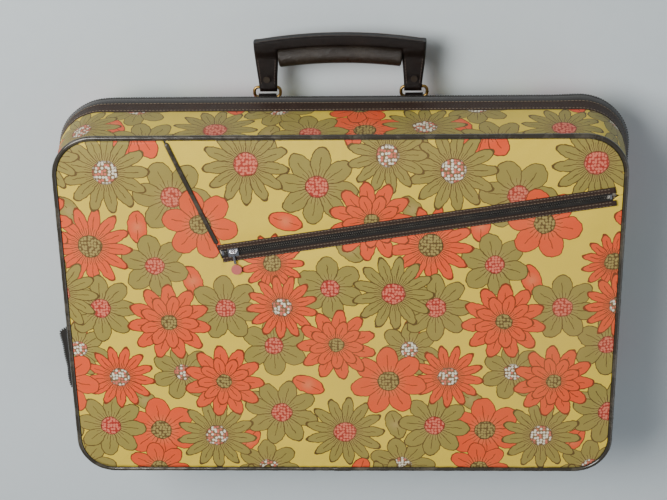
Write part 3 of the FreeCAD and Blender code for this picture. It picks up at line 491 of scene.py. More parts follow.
@dataclass(frozen=True)
class PrintedCloth(Finish):
    """Coated cloth with a retro flower print, a fine weave and soft handling marks."""
    name: str = "printed_cloth"
    repeat_wide: float = 0.320
    repeat_tall: float = 0.362
    ground: Colour = shade(232, 202, 66)
    olive: Colour = shade(152, 138, 68)
    coral: Colour = shade(236, 86, 44)
    ink: Colour = shade(72, 44, 18)
    red: Colour = shade(168, 52, 42)
    pale: Colour = shade(226, 188, 128)
    rim_line: float = 0.00085
    gap_line: float = 0.00048
    vein_line: float = 0.00036
    side_line: float = 0.00026
    thread: float = 0.0009

    def flower_group(self) -> bpy.types.NodeTree:
        """Node group for one flower.

        The place is wrapped round the flower's centre, so it repeats, and its angle is folded into one petal.
        A petal is an ellipse whose middle stands part way out; nearer in, the petals fill the ring between
        them. Lines are drawn round each petal, between petals, up each petal's middle and beside it.
        The place takes in a trace of the colour below, which makes the renderer work flower by flower.
        """
        tree = bpy.data.node_groups.new("flower", "ShaderNodeTree")
        for name, kind in (("Under", "Color"), ("Place", "Vector"), ("Centre", "Vector"), ("Radius", "Float"),
                           ("Fold", "Float"), ("Turn", "Float"), ("Width", "Float"), ("Middle", "Float"),
                           ("Petal", "Color"), ("Heart", "Color"), ("Core", "Float")):
            tree.interface.new_socket(name, in_out="INPUT", socket_type=f"NodeSocket{kind}")
        tree.interface.new_socket("Colour", in_out="OUTPUT", socket_type="NodeSocketColor")
        bench = Bench(tree)
        given = bench.node("NodeGroupInput").outputs
        half = (self.repeat_wide / 2, self.repeat_tall / 2, 1.0)
        queued = bench.vector("MULTIPLY_ADD", given["Under"], (1e-9, 1e-9, 1e-9), given["Place"]).outputs[0]
        moved = bench.vector("SUBTRACT", queued, given["Centre"]).outputs[0]
        wrapped = bench.vector("WRAP", moved, half, tuple(-part for part in half)).outputs[0]
        reach = bench.vector("LENGTH", wrapped).outputs["Value"]
        split = bench.node("ShaderNodeSeparateXYZ", {0: wrapped}).outputs
        angle = bench.math("ARCTAN2", split[1], split[0])
        folded = bench.math("PINGPONG", bench.math("MULTIPLY_ADD", angle, given["Fold"], given["Turn"]), 0.5)
        swing = bench.math("DIVIDE", folded, given["Fold"])
        share = bench.math("DIVIDE", reach, given["Radius"])
        along = bench.math("MULTIPLY", share, bench.math("COSINE", swing))
        side = bench.math("MULTIPLY", share, bench.math("SINE", swing))
        from_middle = bench.math("DIVIDE", bench.math("SUBTRACT", along, given["Middle"]),
                                 bench.math("SUBTRACT", 1.0, given["Middle"]))
        oval = bench.vector("LENGTH", bench.node("ShaderNodeCombineXYZ", {
            0: from_middle, 1: bench.math("DIVIDE", side, given["Width"])}).outputs[0]).outputs["Value"]
        ring = bench.math("LESS_THAN", share, given["Middle"])
        inside = bench.math("MAXIMUM", ring, bench.math("LESS_THAN", oval, 1.0))
        girth = bench.math("MULTIPLY", given["Radius"], given["Width"])
        to_rim = bench.math("MULTIPLY", bench.math("SUBTRACT", 1.0, oval), girth)
        to_edge = bench.math("MAXIMUM", to_rim, ring)
        rim = bench.math("LESS_THAN", to_edge, self.rim_line)
        to_gap = bench.math("MULTIPLY", reach, bench.math("DIVIDE", bench.math("SUBTRACT", 0.5, folded),
                                                          given["Fold"]))
        has_ring = bench.math("GREATER_THAN", given["Middle"], 0.1)
        gap = bench.math("MULTIPLY", bench.math("LESS_THAN", to_gap, self.gap_line), has_ring)
        off_axis = bench.math("MULTIPLY", side, given["Radius"])
        vein = bench.math("MULTIPLY", bench.math("LESS_THAN", off_axis, self.vein_line),
                          bench.math("COMPARE", share, 0.48, 0.27))
        band = bench.math("DIVIDE", bench.math("MULTIPLY", given["Fold"], self.side_line), reach)
        short = bench.math("MULTIPLY", bench.math("LESS_THAN", share, 0.46), has_ring)
        beside = bench.math("MULTIPLY", bench.math("COMPARE", folded, 0.24, band), short)
        lines = bench.math("MAXIMUM", bench.math("MAXIMUM", rim, gap), bench.math("MAXIMUM", vein, beside))
        tint = bench.math("MULTIPLY", bench.math("SUBTRACT", 0.5, share, clamp=True), 0.5)
        petal = bench.mix(tint, given["Petal"], self.pale)
        drawn = bench.mix(bench.math("MULTIPLY", lines, 0.82), petal, self.ink)
        core = bench.math("DIVIDE", reach, given["Core"])
        heart_rim = bench.math("MULTIPLY", bench.math("GREATER_THAN", core, 0.9), 0.7)
        heart = bench.mix(heart_rim, given["Heart"], self.ink)
        with_heart = bench.mix(bench.math("LESS_THAN", core, 1.0), drawn, heart)
        colour = bench.mix(inside, given["Under"], with_heart)
        tree.links.new(colour, bench.node("NodeGroupOutput").inputs[0])
        return tree

    def dress(self, bench: Bench, shader: bpy.types.Node) -> None:
        """Lay the flowers over the ground one by one, then add dots, weave, dye unevenness and gloss."""
        place = bench.node("ShaderNodeUVMap", uv_map="cloth").outputs[0]
        wobble = bench.node("ShaderNodeTexNoise", {"Vector": place, "Scale": 150.0,
                                                   "Detail": 2.0}).outputs["Color"]
        drift = bench.vector("SCALE", bench.vector("SUBTRACT", wobble, (0.5, 0.5, 0.5)).outputs[0])
        drift.inputs["Scale"].default_value = 0.0032
        print_place = bench.vector("ADD", place, drift.outputs[0]).outputs[0]
        dots = bench.node("ShaderNodeTexVoronoi", {"Vector": place, "Scale": 330.0, "Randomness": 0.55},
                          voronoi_dimensions="2D")
        dot = bench.math("LESS_THAN", dots.outputs["Distance"], 0.42)
        pick = bench.math("GREATER_THAN", bench.node("ShaderNodeSeparateXYZ", {
            0: dots.outputs["Color"]}).outputs[0], 0.42)
        pearl = bench.mix(pick, shade(214, 112, 92), shade(236, 230, 206))
        hearts = {Heart.RED: bench.mix(dot, self.red, shade(222, 120, 96)),
                  Heart.PALE: bench.mix(dot, shade(120, 96, 66), pearl),
                  Heart.OLIVE: bench.mix(dot, shade(96, 76, 40), shade(160, 142, 80)), Heart.LEAF: None}
        group = self.flower_group()
        colour: object = self.ground
        for bloom in BLOOMS:
            flower = bench.node("ShaderNodeGroup", node_tree=group)
            inputs = {"Place": print_place, "Centre": (bloom.across / 100, bloom.up / 100, 0.0),
                      "Radius": bloom.radius / 100, "Fold": bloom.petals / (2 * math.pi), "Turn": bloom.turn,
                      "Width": bloom.width, "Middle": bloom.middle,
                      "Core": 0.0002 if bloom.heart is Heart.LEAF else bloom.radius / 350}
            inputs |= {"Petal": self.coral if bloom.coral else self.olive, "Heart": hearts[bloom.heart],
                       "Under": colour}
            for key, value in inputs.items():
                bench.give(flower.inputs[key], value)
            colour = flower.outputs[0]
        patch = bench.noise(place, 7.0, 4.0, 0.6)
        worn = bench.above(patch, 0.42, 0.55)
        faded = bench.mix(worn, colour, shade(176, 140, 92))
        grain = bench.noise(place, 1400.0, 2.0)
        flecked = bench.mix(bench.above(grain, 0.5, 0.5), faded, self.ink)
        split = bench.node("ShaderNodeSeparateXYZ", {0: place}).outputs
        warp = bench.math("SINE", bench.math("MULTIPLY", split[0], 2 * math.pi / self.thread))
        weft = bench.math("SINE", bench.math("MULTIPLY", split[1], 2 * math.pi / self.thread))
        weave = bench.math("MULTIPLY", warp, weft)
        fine = bench.bump(weave, 0.00008, 0.5)
        soft = bench.bump(bench.noise(place, 55.0, 3.0), 0.0016, 0.45, fine)
        rough = bench.math("MULTIPLY_ADD", patch, 0.22, 0.40)
        self.join(bench, shader, Base_Color=flecked, Roughness=rough, Normal=soft, Specular_IOR_Level=0.3)


@dataclass(frozen=True)
class Vinyl(Finish):
    """Grained vinyl: pebbled grain with painted shade in its grooves, paler rubbed high spots and a soft
    gloss.
    """
    name: str = "vinyl_brown"
    colour: Colour = shade(25, 17, 14)
    rubbed: Colour = shade(64, 48, 38)
    grain: float = 900.0
    depth: float = 0.00022
    roughness: float = 0.40
    shine: float = 0.22

    def dress(self, bench: Bench, shader: bpy.types.Node) -> None:
        """Pebbles from cell edges, with painted shade in the grooves between them; rubbed patches from a
        broad noise.
        """
        place = bench.node("ShaderNodeTexCoord").outputs["Object"]
        cells = bench.node("ShaderNodeTexVoronoi", {"Vector": place, "Scale": self.grain},
                           feature="DISTANCE_TO_EDGE").outputs["Distance"]
        pebbles = bench.math("MINIMUM", bench.math("MULTIPLY", cells, 5.0), 1.0)
        broad = bench.noise(place, 38.0, 5.0, 0.6)
        rub = bench.above(broad, 0.52, 2.2)
        colour = bench.mix(bench.math("MULTIPLY", rub, 0.55), self.colour, self.rubbed)
        # painted shade: the grooves between the pebbles are darkened to 0.45 of the colour
        deep = bench.mix(pebbles, tuple(0.45 * part for part in self.colour), colour)
        crease = bench.bump(bench.noise(place, 90.0, 4.0, 0.65), 0.0008, 0.4)
        rough = bench.math("MULTIPLY_ADD", broad, 0.3, self.roughness - 0.12)
        self.join(bench, shader, Base_Color=deep, Roughness=rough, Specular_IOR_Level=self.shine,
                  Normal=bench.bump(pebbles, self.depth, 0.7, crease))


@dataclass(frozen=True)
class Weave(Finish):
    """Plain woven cloth, tape or webbing on its own cloth coordinates or on object coordinates."""
    name: str = "tape_black"
    colour: Colour = shade(30, 27, 24)
    # light: paler thread colour, laid on the weave's crests as a painted highlight where the lint noise is
    # high
    light: Colour = shade(62, 57, 50)
    pitch: float = 0.0009
    roughness: float = 0.85
    own_map: bool = False

    def dress(self, bench: Bench, shader: bpy.types.Node) -> None:
        """Over-and-under threads from two sine waves, with a painted highlight on their crests broken up by
        lint, and uneven dye.
        """
        kind = "UV" if self.own_map else "Object"
        place = bench.node("ShaderNodeTexCoord").outputs[kind]
        split = bench.node("ShaderNodeSeparateXYZ", {0: place}).outputs
        wave = 2 * math.pi / self.pitch
        first = bench.math("SINE", bench.math("MULTIPLY", split[0], wave))
        other = bench.math("ADD", split[1], 0.0 if self.own_map else split[2])
        second = bench.math("SINE", bench.math("MULTIPLY", other, wave))
        weave = bench.math("MULTIPLY_ADD", bench.math("MULTIPLY", first, second), 0.5, 0.5)
        lint = bench.noise(place, 240.0, 4.0, 0.7)
        # painted highlight: the thread crests are lightened towards the light colour, patchy with lint
        share = bench.math("MULTIPLY", bench.math("MULTIPLY", weave, lint), 1.1, clamp=True)
        colour = bench.mix(share, self.colour, self.light)
        uneven = bench.mix(bench.math("MULTIPLY", bench.noise(place, 14.0), 0.3), colour,
                           tuple(0.6 * part for part in self.colour))
        self.join(bench, shader, Base_Color=uneven, Roughness=self.roughness, Sheen_Weight=0.25,
                  Normal=bench.bump(weave, self.pitch * 0.16, 0.7))


@dataclass(frozen=True)
class Metal(Finish):
    """Plated or bare metal with fine scratches and dulled patches."""
    name: str = "plated_steel"
    colour: Colour = shade(196, 196, 200)
    tarnish: Colour = shade(98, 92, 84)
    roughness: float = 0.24
    dull: float = 0.5

    def dress(self, bench: Bench, shader: bpy.types.Node) -> None:
        """Tarnish where a broad noise is high; scratches from a stretched one."""
        place = bench.node("ShaderNodeTexCoord").outputs["Object"]
        patch = bench.noise(place, 210.0, 5.0, 0.65)
        share = bench.above(patch, 0.45, 4 * self.dull)
        scratch = bench.streaks(place, (900.0, 5200.0, 900.0), 2.0)
        rough = bench.math("MULTIPLY_ADD", share, 0.28, self.roughness)
        self.join(bench, shader, Base_Color=bench.mix(share, self.colour, self.tarnish), Metallic=1.0,
                  Roughness=rough, Normal=bench.bump(scratch, 0.00003, 0.35))


@dataclass(frozen=True)
class Moulded(Finish):
    """Smooth moulded plastic or extruded cord with faint flow marks."""
    name: str = "cord_vinyl"
    colour: Colour = shade(52, 47, 38)
    dust: Colour = shade(136, 128, 110)
    roughness: float = 0.22
    coat: float = 0.35

    def dress(self, bench: Bench, shader: bpy.types.Node) -> None:
        """Dust in a broad noise over the colour, and a shallow waviness."""
        place = bench.node("ShaderNodeTexCoord").outputs["Object"]
        patch = bench.noise(place, 60.0, 5.0, 0.65)
        share = bench.above(patch, 0.5, 1.4)
        rough = bench.math("MULTIPLY_ADD", patch, 0.25, self.roughness - 0.08)
        self.join(bench, shader, Base_Color=bench.mix(share, self.colour, self.dust), Roughness=rough,
                  Coat_Weight=self.coat, Coat_Roughness=0.15,
                  Normal=bench.bump(bench.noise(place, 180.0, 3.0), 0.0004, 0.35))


@dataclass(frozen=True)
class Board(Finish):
    """Pressed fibreboard: flecked fibres and rough faces."""
    name: str = "fibreboard"
    colour: Colour = shade(132, 98, 62)
    fleck: Colour = shade(84, 58, 34)

    def dress(self, bench: Bench, shader: bpy.types.Node) -> None:
        """Short fibres from a stretched noise over a broad one."""
        place = bench.node("ShaderNodeTexCoord").outputs["Object"]
        fibre = bench.streaks(place, (260.0, 900.0, 900.0), 4.0, 0.7)
        share = bench.math("MULTIPLY", fibre, bench.noise(place, 60.0))
        self.join(bench, shader, Base_Color=bench.mix(share, self.colour, self.fleck), Roughness=0.88,
                  Normal=bench.bump(fibre, 0.0002, 0.6))


CLOTH = PrintedCloth()
BROWN = Vinyl()
STRIP = Vinyl("vinyl_strip", shade(62, 45, 36), shade(104, 82, 68), 1300.0, 0.00012, 0.42)
CORD = Moulded()
TAPE = Weave("tape_black", shade(20, 18, 16), shade(44, 39, 34))
TEETH = Moulded("nylon_teeth", shade(34, 31, 28), shade(92, 86, 76), 0.4, 0.1)
THREAD = Weave("thread", shade(120, 104, 84), shade(158, 142, 116), 0.0004, 0.75)
LINING = Weave("lining", shade(168, 148, 112), shade(196, 178, 142), 0.0011, 0.8, own_map=True)
WEBBING = Weave("webbing", shade(70, 50, 38), shade(108, 82, 60), 0.0016, 0.8)
WADDING = Weave("wadding", shade(214, 208, 194), shade(236, 232, 222), 0.0030, 0.95)
PLATED = Metal()
BRASS = Metal("worn_brass", shade(186, 150, 84), shade(92, 68, 38), 0.26, 0.7)
STEEL = Metal("bare_steel", shade(150, 150, 152), shade(96, 88, 80), 0.42, 0.8)
BOARD = Board()
STUD = Moulded("stud", shade(40, 32, 27), shade(98, 88, 76), 0.3, 0.2)
ENAMEL = Moulded("enamel", shade(198, 104, 96), shade(220, 168, 150), 0.16, 0.6)
ROLL = Vinyl("vinyl_roll", shade(44, 36, 29), shade(92, 80, 66), 700.0, 0.00025, 0.30, 0.5)
THREAD_DARK = Weave("thread_dark", shade(66, 50, 40), shade(104, 84, 68), 0.0004, 0.75)
FLOOR = Board("floor_paper", shade(206, 216, 220), shade(198, 208, 213))
FORM = CaseForm()


def hoop_piece(route: Route, profile: np.ndarray, name: str, finish: Finish, body: str, slot: str,
               closed_profile: bool = True, swell: Optional[np.ndarray] = None) -> bpy.types.Object:
    """Strip swept round the case: each profile point is an offset and a level, in metres.

    Args:
        route: outline it follows, whole or in part.
        profile: rows of offset and level, listed so that the faces point outwards.
        swell: extra offset, shaped (places, profile points).
    """
    offset = np.broadcast_to(profile[:, 0], (len(route.places), len(profile)))
    if swell is not None:
        offset = offset + swell
    points = FORM.wall(route, offset, np.broadcast_to(profile[:, 1], offset.shape))
    stock = MeshStock().grid(points, wrap_u=route.closed, wrap_v=closed_profile)
    if not route.closed and closed_profile:
        for ring, turned in ((points[0], True), (points[-1], False)):
            close_end(stock, ring, turned)
    return stock.build(name, finish, body, slot)


def close_end(stock: MeshStock, ring: np.ndarray, turned: bool) -> None:
    """Close a swept piece's end with quads folded across its section's ring."""
    half = len(ring) // 2
    strip = np.stack([ring[:half], ring[::-1][:half]], 1)
    stock.grid(strip, flip=turned)


def closed_rod(points: np.ndarray, name: str, finish: Finish, body: str, slot: str,
               uv: Optional[np.ndarray] = None) -> bpy.types.Object:
    """Rod from rings of places, closed at both ends, with its faces outwards."""
    stock = MeshStock().grid(points, uv, wrap_v=True)
    close_end(stock, points[0], True)
    close_end(stock, points[-1], False)
    piece = stock.build(name, finish, body, slot)
    outward(piece)
    return piece


def round_bar(low: float, high: float, inner: float, outer: float, bead: float, steps: int = 5) -> np.ndarray:
    """Rounded-rectangle profile of a strip: up its outer side, over, and down its inner side."""
    rows = []
    corners = ((outer - bead, low + bead, -90), (outer - bead, high - bead, 0),
               (inner + bead, high - bead, 90), (inner + bead, low + bead, 180))
    for offset, level, start in corners:
        turn = np.radians(start + np.linspace(0, 90, steps))
        rows.append(np.stack([offset + bead * np.cos(turn), level + bead * np.sin(turn)], 1))
    return np.concatenate(rows)


def stitches(route: Route, offset: np.ndarray | float, level: float, pitch: float, long: float,
             thick: float) -> MeshStock:
    """Row of stitches round the wall at one level, spaced by the pitch."""
    length = route.along[-1] - route.along[0]
    count = int(length / pitch)
    at = route.along[0] + (np.arange(count) + 0.5) * length / count
    places = FORM.wall(route, offset, level)[:, 0]
    spots = sample(at, route.along, places)
    out = unit(sample(at, route.along, route.outward))
    up = np.tile([0.0, 0.0, 1.0], (count, 1))
    ahead = np.cross(up, out)
    frames = np.stack([ahead, -up, out], 1)
    shape, quads = capsule(long, thick)
    return MeshStock().copies(shape, quads, spots, frames)


@dataclass
class Gusset:
    """Printed side wall of one half: a band with a soft outward swell and small pulls along both seams."""
    name: str
    body: str
    low: float
    high: float
    swell: float
    seed: int
    shift: tuple[float, float]
    count: int = 760
    rows: int = 26
    thick: float = 0.0010

    def build(self) -> bpy.types.Object:
        """Swell is a sine across the band, with broad ripples and short puckers that fade off the seams."""
        route = FORM.outline(self.count)
        share = np.linspace(0, 1, self.rows)
        level = self.low + share * (self.high - self.low)
        around = route.along[:, None]
        belly = np.sin(math.pi * share)[None] ** 0.7
        broad = ripple(around, level[None], self.seed, 9, 46.0)
        near = np.exp(-np.minimum(share, 1 - share) * (self.high - self.low) / 0.006)[None]
        drift = 2.2 * ripple(around, level[None], self.seed + 1, 5, 30.0)
        pucker = np.sin(around * 2 * math.pi / 0.0135 + drift)
        offset = belly * (self.swell + 0.0006 * broad) + 0.00028 * near * belly ** 0.3 * (1 + pucker)
        offset = np.maximum(offset, 0) + 0 * around
        points = FORM.wall(route, offset, np.broadcast_to(level, offset.shape))
        around = np.concatenate([route.along, [route.along[-1] + route.along[1]]])
        uv = np.stack(np.broadcast_arrays(-around[:, None] + self.shift[0], level[None] + self.shift[1]), -1)
        piece = MeshStock().grid(points, uv, wrap_u=True).build(self.name + "_cloth", CLOTH, self.body,
                                                                 "floral_fabric")
        thicken(piece, self.thick)
        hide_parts(self.name)
        return piece

    def body_frame(self) -> str:
        """The stiff frame that the band is glued over."""
        return "lid_frame" if self.body == "lid" else "body_frame"


@dataclass
class FrontFace:
    """Printed front: a main panel, and an upper panel between the slanting seam and the pocket zip."""
    left_x: float = -0.111
    left_y: float = 0.062
    slant: float = math.radians(8.8)
    run: float = 0.366
    lean: float = math.radians(23)
    level: float = 0.1372
    edge_inset: float = 0.0104
    gap: float = 0.0046
    seam_gap: float = 0.0006
    dome: float = 0.0026
    step: float = 0.0025
    thick: float = 0.0009

    def seam_x(self, y: np.ndarray) -> np.ndarray:
        """Where the slanting seam crosses a height: it leans left as it rises from the zip's end."""
        return self.left_x - 0.001 - (y - self.left_y) * math.tan(self.lean)

    def zip_y(self, x: np.ndarray) -> np.ndarray:
        """Height of the zip's middle line."""
        return self.left_y + (x - self.left_x) * math.tan(self.slant)

    def across(self, x: np.ndarray, y: np.ndarray) -> np.ndarray:
        """Distance from the zip's middle line, upwards positive."""
        return (y - self.left_y) * math.cos(self.slant) - (x - self.left_x) * math.sin(self.slant)

    def inner_reach(self, x: np.ndarray, top: bool) -> np.ndarray:
        """Height of the outline's top or bottom at each place along the face."""
        half_x, half_y = FORM.wide / 2 - self.edge_inset, FORM.tall / 2 - self.edge_inset
        radius = (FORM.round_top if top else FORM.round_low) - self.edge_inset
        past = np.clip(np.abs(x) - (half_x - radius), 0, radius)
        return half_y - radius + np.sqrt(np.maximum(radius ** 2 - past ** 2, 0))

    def edge_gap(self, x: np.ndarray, y: np.ndarray) -> np.ndarray:
        """Distance inwards from the face's outline, as for any rounded rectangle."""
        radius = np.where(y > 0, FORM.round_top, FORM.round_low) - self.edge_inset
        past_x = np.abs(x) - (FORM.wide / 2 - self.edge_inset - radius)
        past_y = np.abs(y) - (FORM.tall / 2 - self.edge_inset - radius)
        outside = np.hypot(np.maximum(past_x, 0), np.maximum(past_y, 0))
        return radius - outside - np.minimum(np.maximum(past_x, past_y), 0)

    def height(self, x: np.ndarray, y: np.ndarray) -> np.ndarray:
        """Padded surface: it rises from the piping, dips at the zip and seam, and has broad soft waves."""
        edge = self.edge_gap(x, y)
        rise = smooth(-0.002, 0.034, edge) ** 0.75
        middle = np.abs(self.across(x, y))
        by_zip = np.where(x > self.left_x, np.exp(-(np.maximum(middle - 0.006, 0) / 0.009) ** 2), 0.0)
        by_seam = np.where(y > self.left_y, np.exp(-((x - self.seam_x(y)) / 0.007) ** 2), 0.0)
        broad = ripple(x, y, 5, 9, 30.0)
        fine = ripple(x, y, 8, 9, 95.0)
        pucker = np.sin(np.arctan2(y, x) * 110 + 3 * broad) * np.exp(-edge / 0.008)
        lift = self.dome * rise * (1 - 0.55 * by_zip - 0.5 * by_seam)
        return self.level + lift + rise * (0.0007 * broad + 0.00022 * fine) + 0.00018 * pucker

    def panel(self, name: str, columns: np.ndarray, low: np.ndarray, high: np.ndarray, rows: int,
              area: float, flat: tuple[float, float]) -> bpy.types.Object:
        """Cloth between a lower and an upper edge, both given at each column."""
        share = np.linspace(0, 1, rows)[None]
        x = np.repeat(columns[:, None], rows, 1)
        y = low[:, None] + share * (high - low)[:, None]
        points = np.stack([x, y, self.height(x, y)], -1)
        stock = MeshStock().grid(points, np.stack([x, y], -1))
        piece = stock.build(name + "_cloth", CLOTH, "lid", "floral_fabric")
        thicken(piece, self.thick)
        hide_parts(name)
        return piece

    def build(self) -> list[bpy.types.Object]:
        """The two panels, each ruled between its edges from left to right."""
        half = FORM.wide / 2 - self.edge_inset
        top_seam_x = float(self.seam_x(np.array(FORM.tall / 2 - self.edge_inset)))
        marks = [-half, top_seam_x, self.left_x, 0.2505, 0.2575, half]
        spans = [np.linspace(a, b, max(3, int((b - a) / self.step) + 1))[:-1]
                 for a, b in zip(marks, marks[1:])]
        ends = half - (half - 0.2575) * np.array([0.04, 0.01, 0.0])
        columns = np.concatenate([-ends[::-1][:1], -half + np.array([0.00015, 0.0006]), *spans, ends])
        columns = np.unique(np.round(columns, 7))
        bottom, top = -self.inner_reach(columns, False), self.inner_reach(columns, True)
        gap = self.gap * (1 - smooth(0.2505, 0.2565, columns)) + 0.0002
        gap = gap / math.cos(self.slant)
        seam = self.left_y - (columns - self.left_x + 0.001) / math.tan(self.lean)
        beside = self.seam_gap / math.sin(self.lean)
        main_high = np.where(columns < top_seam_x, top, np.where(
            columns < self.left_x, np.minimum(seam - beside, top), self.zip_y(columns) - gap))
        main_high = np.minimum(main_high, top)
        pieces = [self.panel("front_main_panel", columns, bottom, main_high, 110, 0.135, (0.521, 0.349))]
        right = columns[columns >= top_seam_x]
        seam, gap, top = seam[columns >= top_seam_x], gap[columns >= top_seam_x], top[columns >= top_seam_x]
        low = np.where(right < self.left_x, np.maximum(seam + beside, self.zip_y(right) + gap),
                       self.zip_y(right) + gap)
        low = np.minimum(low, top - 0.0001)
        pieces.append(self.panel("front_upper_panel", right, low, top, 46, 0.0265, (0.418, 0.108)))
        return pieces


@dataclass
class Padding:
    """Foam between the front board and the printed front: a crowned slab, closed underneath."""
    low: float = 0.1302
    high: float = 0.1364
    inset: float = 0.0106
    rings: int = 22

    def build(self) -> bpy.types.Object:
        """Rings shrink towards the middle; the top crowns and the sides round over."""
        route = FORM.outline(360)
        scale = 1 - np.linspace(0, 1, self.rings)
        outer = route.places[:, None] - route.outward[:, None] * self.inset
        depth = 1 - smooth(0, 0.10, 1 - scale)
        rise = np.where(scale > 0, self.high - (self.high - self.low) * 0.5 * depth ** 3, self.high)
        top = outer * scale[None, :, None] + np.array([0, 0, 1.0]) * rise[None, :, None]
        fall = self.low + (self.high - self.low) * 0.5 * depth ** 3
        under = outer * scale[None, :, None] + np.array([0, 0, 1.0]) * fall[None, :, None]
        points = np.concatenate([top[:, ::-1], under], 1)
        stock = MeshStock().grid(points, wrap_u=True, flip=True)
        piece = stock.build("front_padding_wadding", WADDING, "lid", "wadding")
        weld(piece)
        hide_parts("front_padding")
        return piece


def weld(piece: bpy.types.Object, reach: float = 1e-6) -> None:
    """Merge doubled places, so that poles and seams close."""
    shell = bmesh.new()
    shell.from_mesh(piece.data)
    bmesh.ops.remove_doubles(shell, verts=shell.verts, dist=reach)
    bmesh.ops.dissolve_degenerate(shell, edges=shell.edges, dist=1e-7)
    shell.to_mesh(piece.data)
    shell.free()


@dataclass
class BackFace:
    """Printed back: cloth on its board, out to the back piping."""
    inset: float = 0.0233
    rings: int = 40
    thick: float = 0.0009

    def build(self) -> bpy.types.Object:
        """Rings of the outline shrink to the middle; broad ripples lift the cloth a little off its board."""
        route = FORM.outline(480)
        scale = np.linspace(1, 0, self.rings)
        outer = route.places - route.outward * self.inset
        flat = outer[:, None] * scale[None, :, None]
        wave = 1 + ripple(flat[..., 0], flat[..., 1], 21, 9, 24.0)
        lift = 0.00035 * wave * smooth(0, 0.2, 1 - scale)[None]
        points = flat + np.array([0, 0, 1.0]) * (0.0001 + lift)[..., None]
        ring = np.concatenate([flat, flat[:1]])
        uv = np.stack([-ring[..., 0], ring[..., 1]], -1)
        stock = MeshStock().grid(points, uv, wrap_u=True, flip=True)
        piece = stock.build("back_cover_cloth", CLOTH, "rear_half", "floral_fabric")
        weld(piece)
        thicken(piece, self.thick)
        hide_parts("back_cover")
        return piece


@dataclass
class Lining:
    """Cloth lining of one half: walls, a rounded corner and a panel over the floor or under the roof."""
    name: str
    body: str
    rim: float
    floor: float
    inner: float = -0.0048
    corner: float = 0.006
    thick: float = 0.0007

    def build(self) -> bpy.types.Object:
        """Rings run down the wall, round the corner and shrink over the floor; pleats fade from the rim."""
        route = FORM.outline(560)
        way = 1.0 if self.rim > self.floor else -1.0
        wall = np.linspace(self.rim, self.floor + way * self.corner, 18)
        turn = np.linspace(0, math.pi / 2, 7)[1:]
        level = np.concatenate([wall, self.floor + way * self.corner * (1 - np.sin(turn))])
        offset = np.concatenate([np.full(18, self.inner), self.inner - self.corner * (1 - np.cos(turn))])
        depth = np.abs(level - self.rim)
        drift = 1.5 * ripple(route.along[:, None], depth[None], 33)
        pleat = np.sin(route.along[:, None] * 2 * math.pi / 0.021 + drift)
        sway = -0.0004 * (1 + pleat) * np.exp(-depth / 0.018)[None] * smooth(0, 0.002, depth)[None]
        ring = FORM.wall(route, offset[None] + sway, np.broadcast_to(level, sway.shape))
        scale = np.linspace(1, 0, 24)[1:]
        edge = ring[:, -1:]
        panel = edge * np.array([1.0, 1.0, 0.0]) * scale[None, :, None]
        wave = 0.00035 * ripple(panel[..., 0], panel[..., 1], 34, 9, 26.0) * smooth(0, 0.15, 1 - scale)[None]
        panel = panel + np.array([0, 0, 1.0]) * (self.floor + way * (0.0004 + wave))[..., None]
        points = np.concatenate([ring, panel], 1)
        length = np.concatenate([np.zeros((len(points), 1)),
                                 np.cumsum(np.linalg.norm(np.diff(points, axis=1), axis=2), 1)], 1)
        around = np.concatenate([route.along, [route.along[-1] + route.along[1]]])
        uv = np.stack(np.broadcast_arrays(around[:, None], np.concatenate([length, length[:1]])), -1)
        flat_from = len(level)
        round_up = np.concatenate([points, points[:1]])
        uv = uv.copy()
        uv[:, flat_from:] = round_up[:, flat_from:, :2]
        stock = MeshStock().grid(points, uv, wrap_u=True, flip=way > 0)
        piece = stock.build(self.name + "_cloth", LINING, self.body, "lining_cloth")
        weld(piece)
        thicken(piece, self.thick, -1.0)
        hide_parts(self.name)
        return piece


@dataclass
class Piping:
    """Vinyl cord round a face's edge, with a lapped join at the middle of the bottom."""
    name: str
    body: str
    level: float
    offset: float = 0.0012
    radius: float = 0.0024

    def build(self) -> bpy.types.Object:
        """Round rod on the outline, its radius uneven by a few hundredths and swollen at the join."""
        route = FORM.outline(900)
        centre = FORM.wall(route, self.offset, self.level)[:, 0]
        along = route.along
        gap = np.minimum(along, along[-1] - along)
        swell = 0.00022 * (1 - smooth(0.006, 0.008, gap))
        wave = 0.00006 * np.sin(along * 2 * math.pi / 0.031) + 0.00005 * np.sin(along * 2 * math.pi / 0.0127)
        points = tube(centre, self.radius - 0.00012 + wave + swell, 18, closed=True)
        piece = MeshStock().grid(points, wrap_u=True, wrap_v=True).build(self.name + "_cord", CORD, self.body,
                                                                           "piping_vinyl")
        outward(piece)
        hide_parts(self.name)
        return piece


def outward(piece: bpy.types.Object) -> None:
    """Turn a closed piece's faces outwards."""
    shell = bmesh.new()
    shell.from_mesh(piece.data)
    bmesh.ops.recalc_face_normals(shell, faces=shell.faces)
    shell.to_mesh(piece.data)
    shell.free()


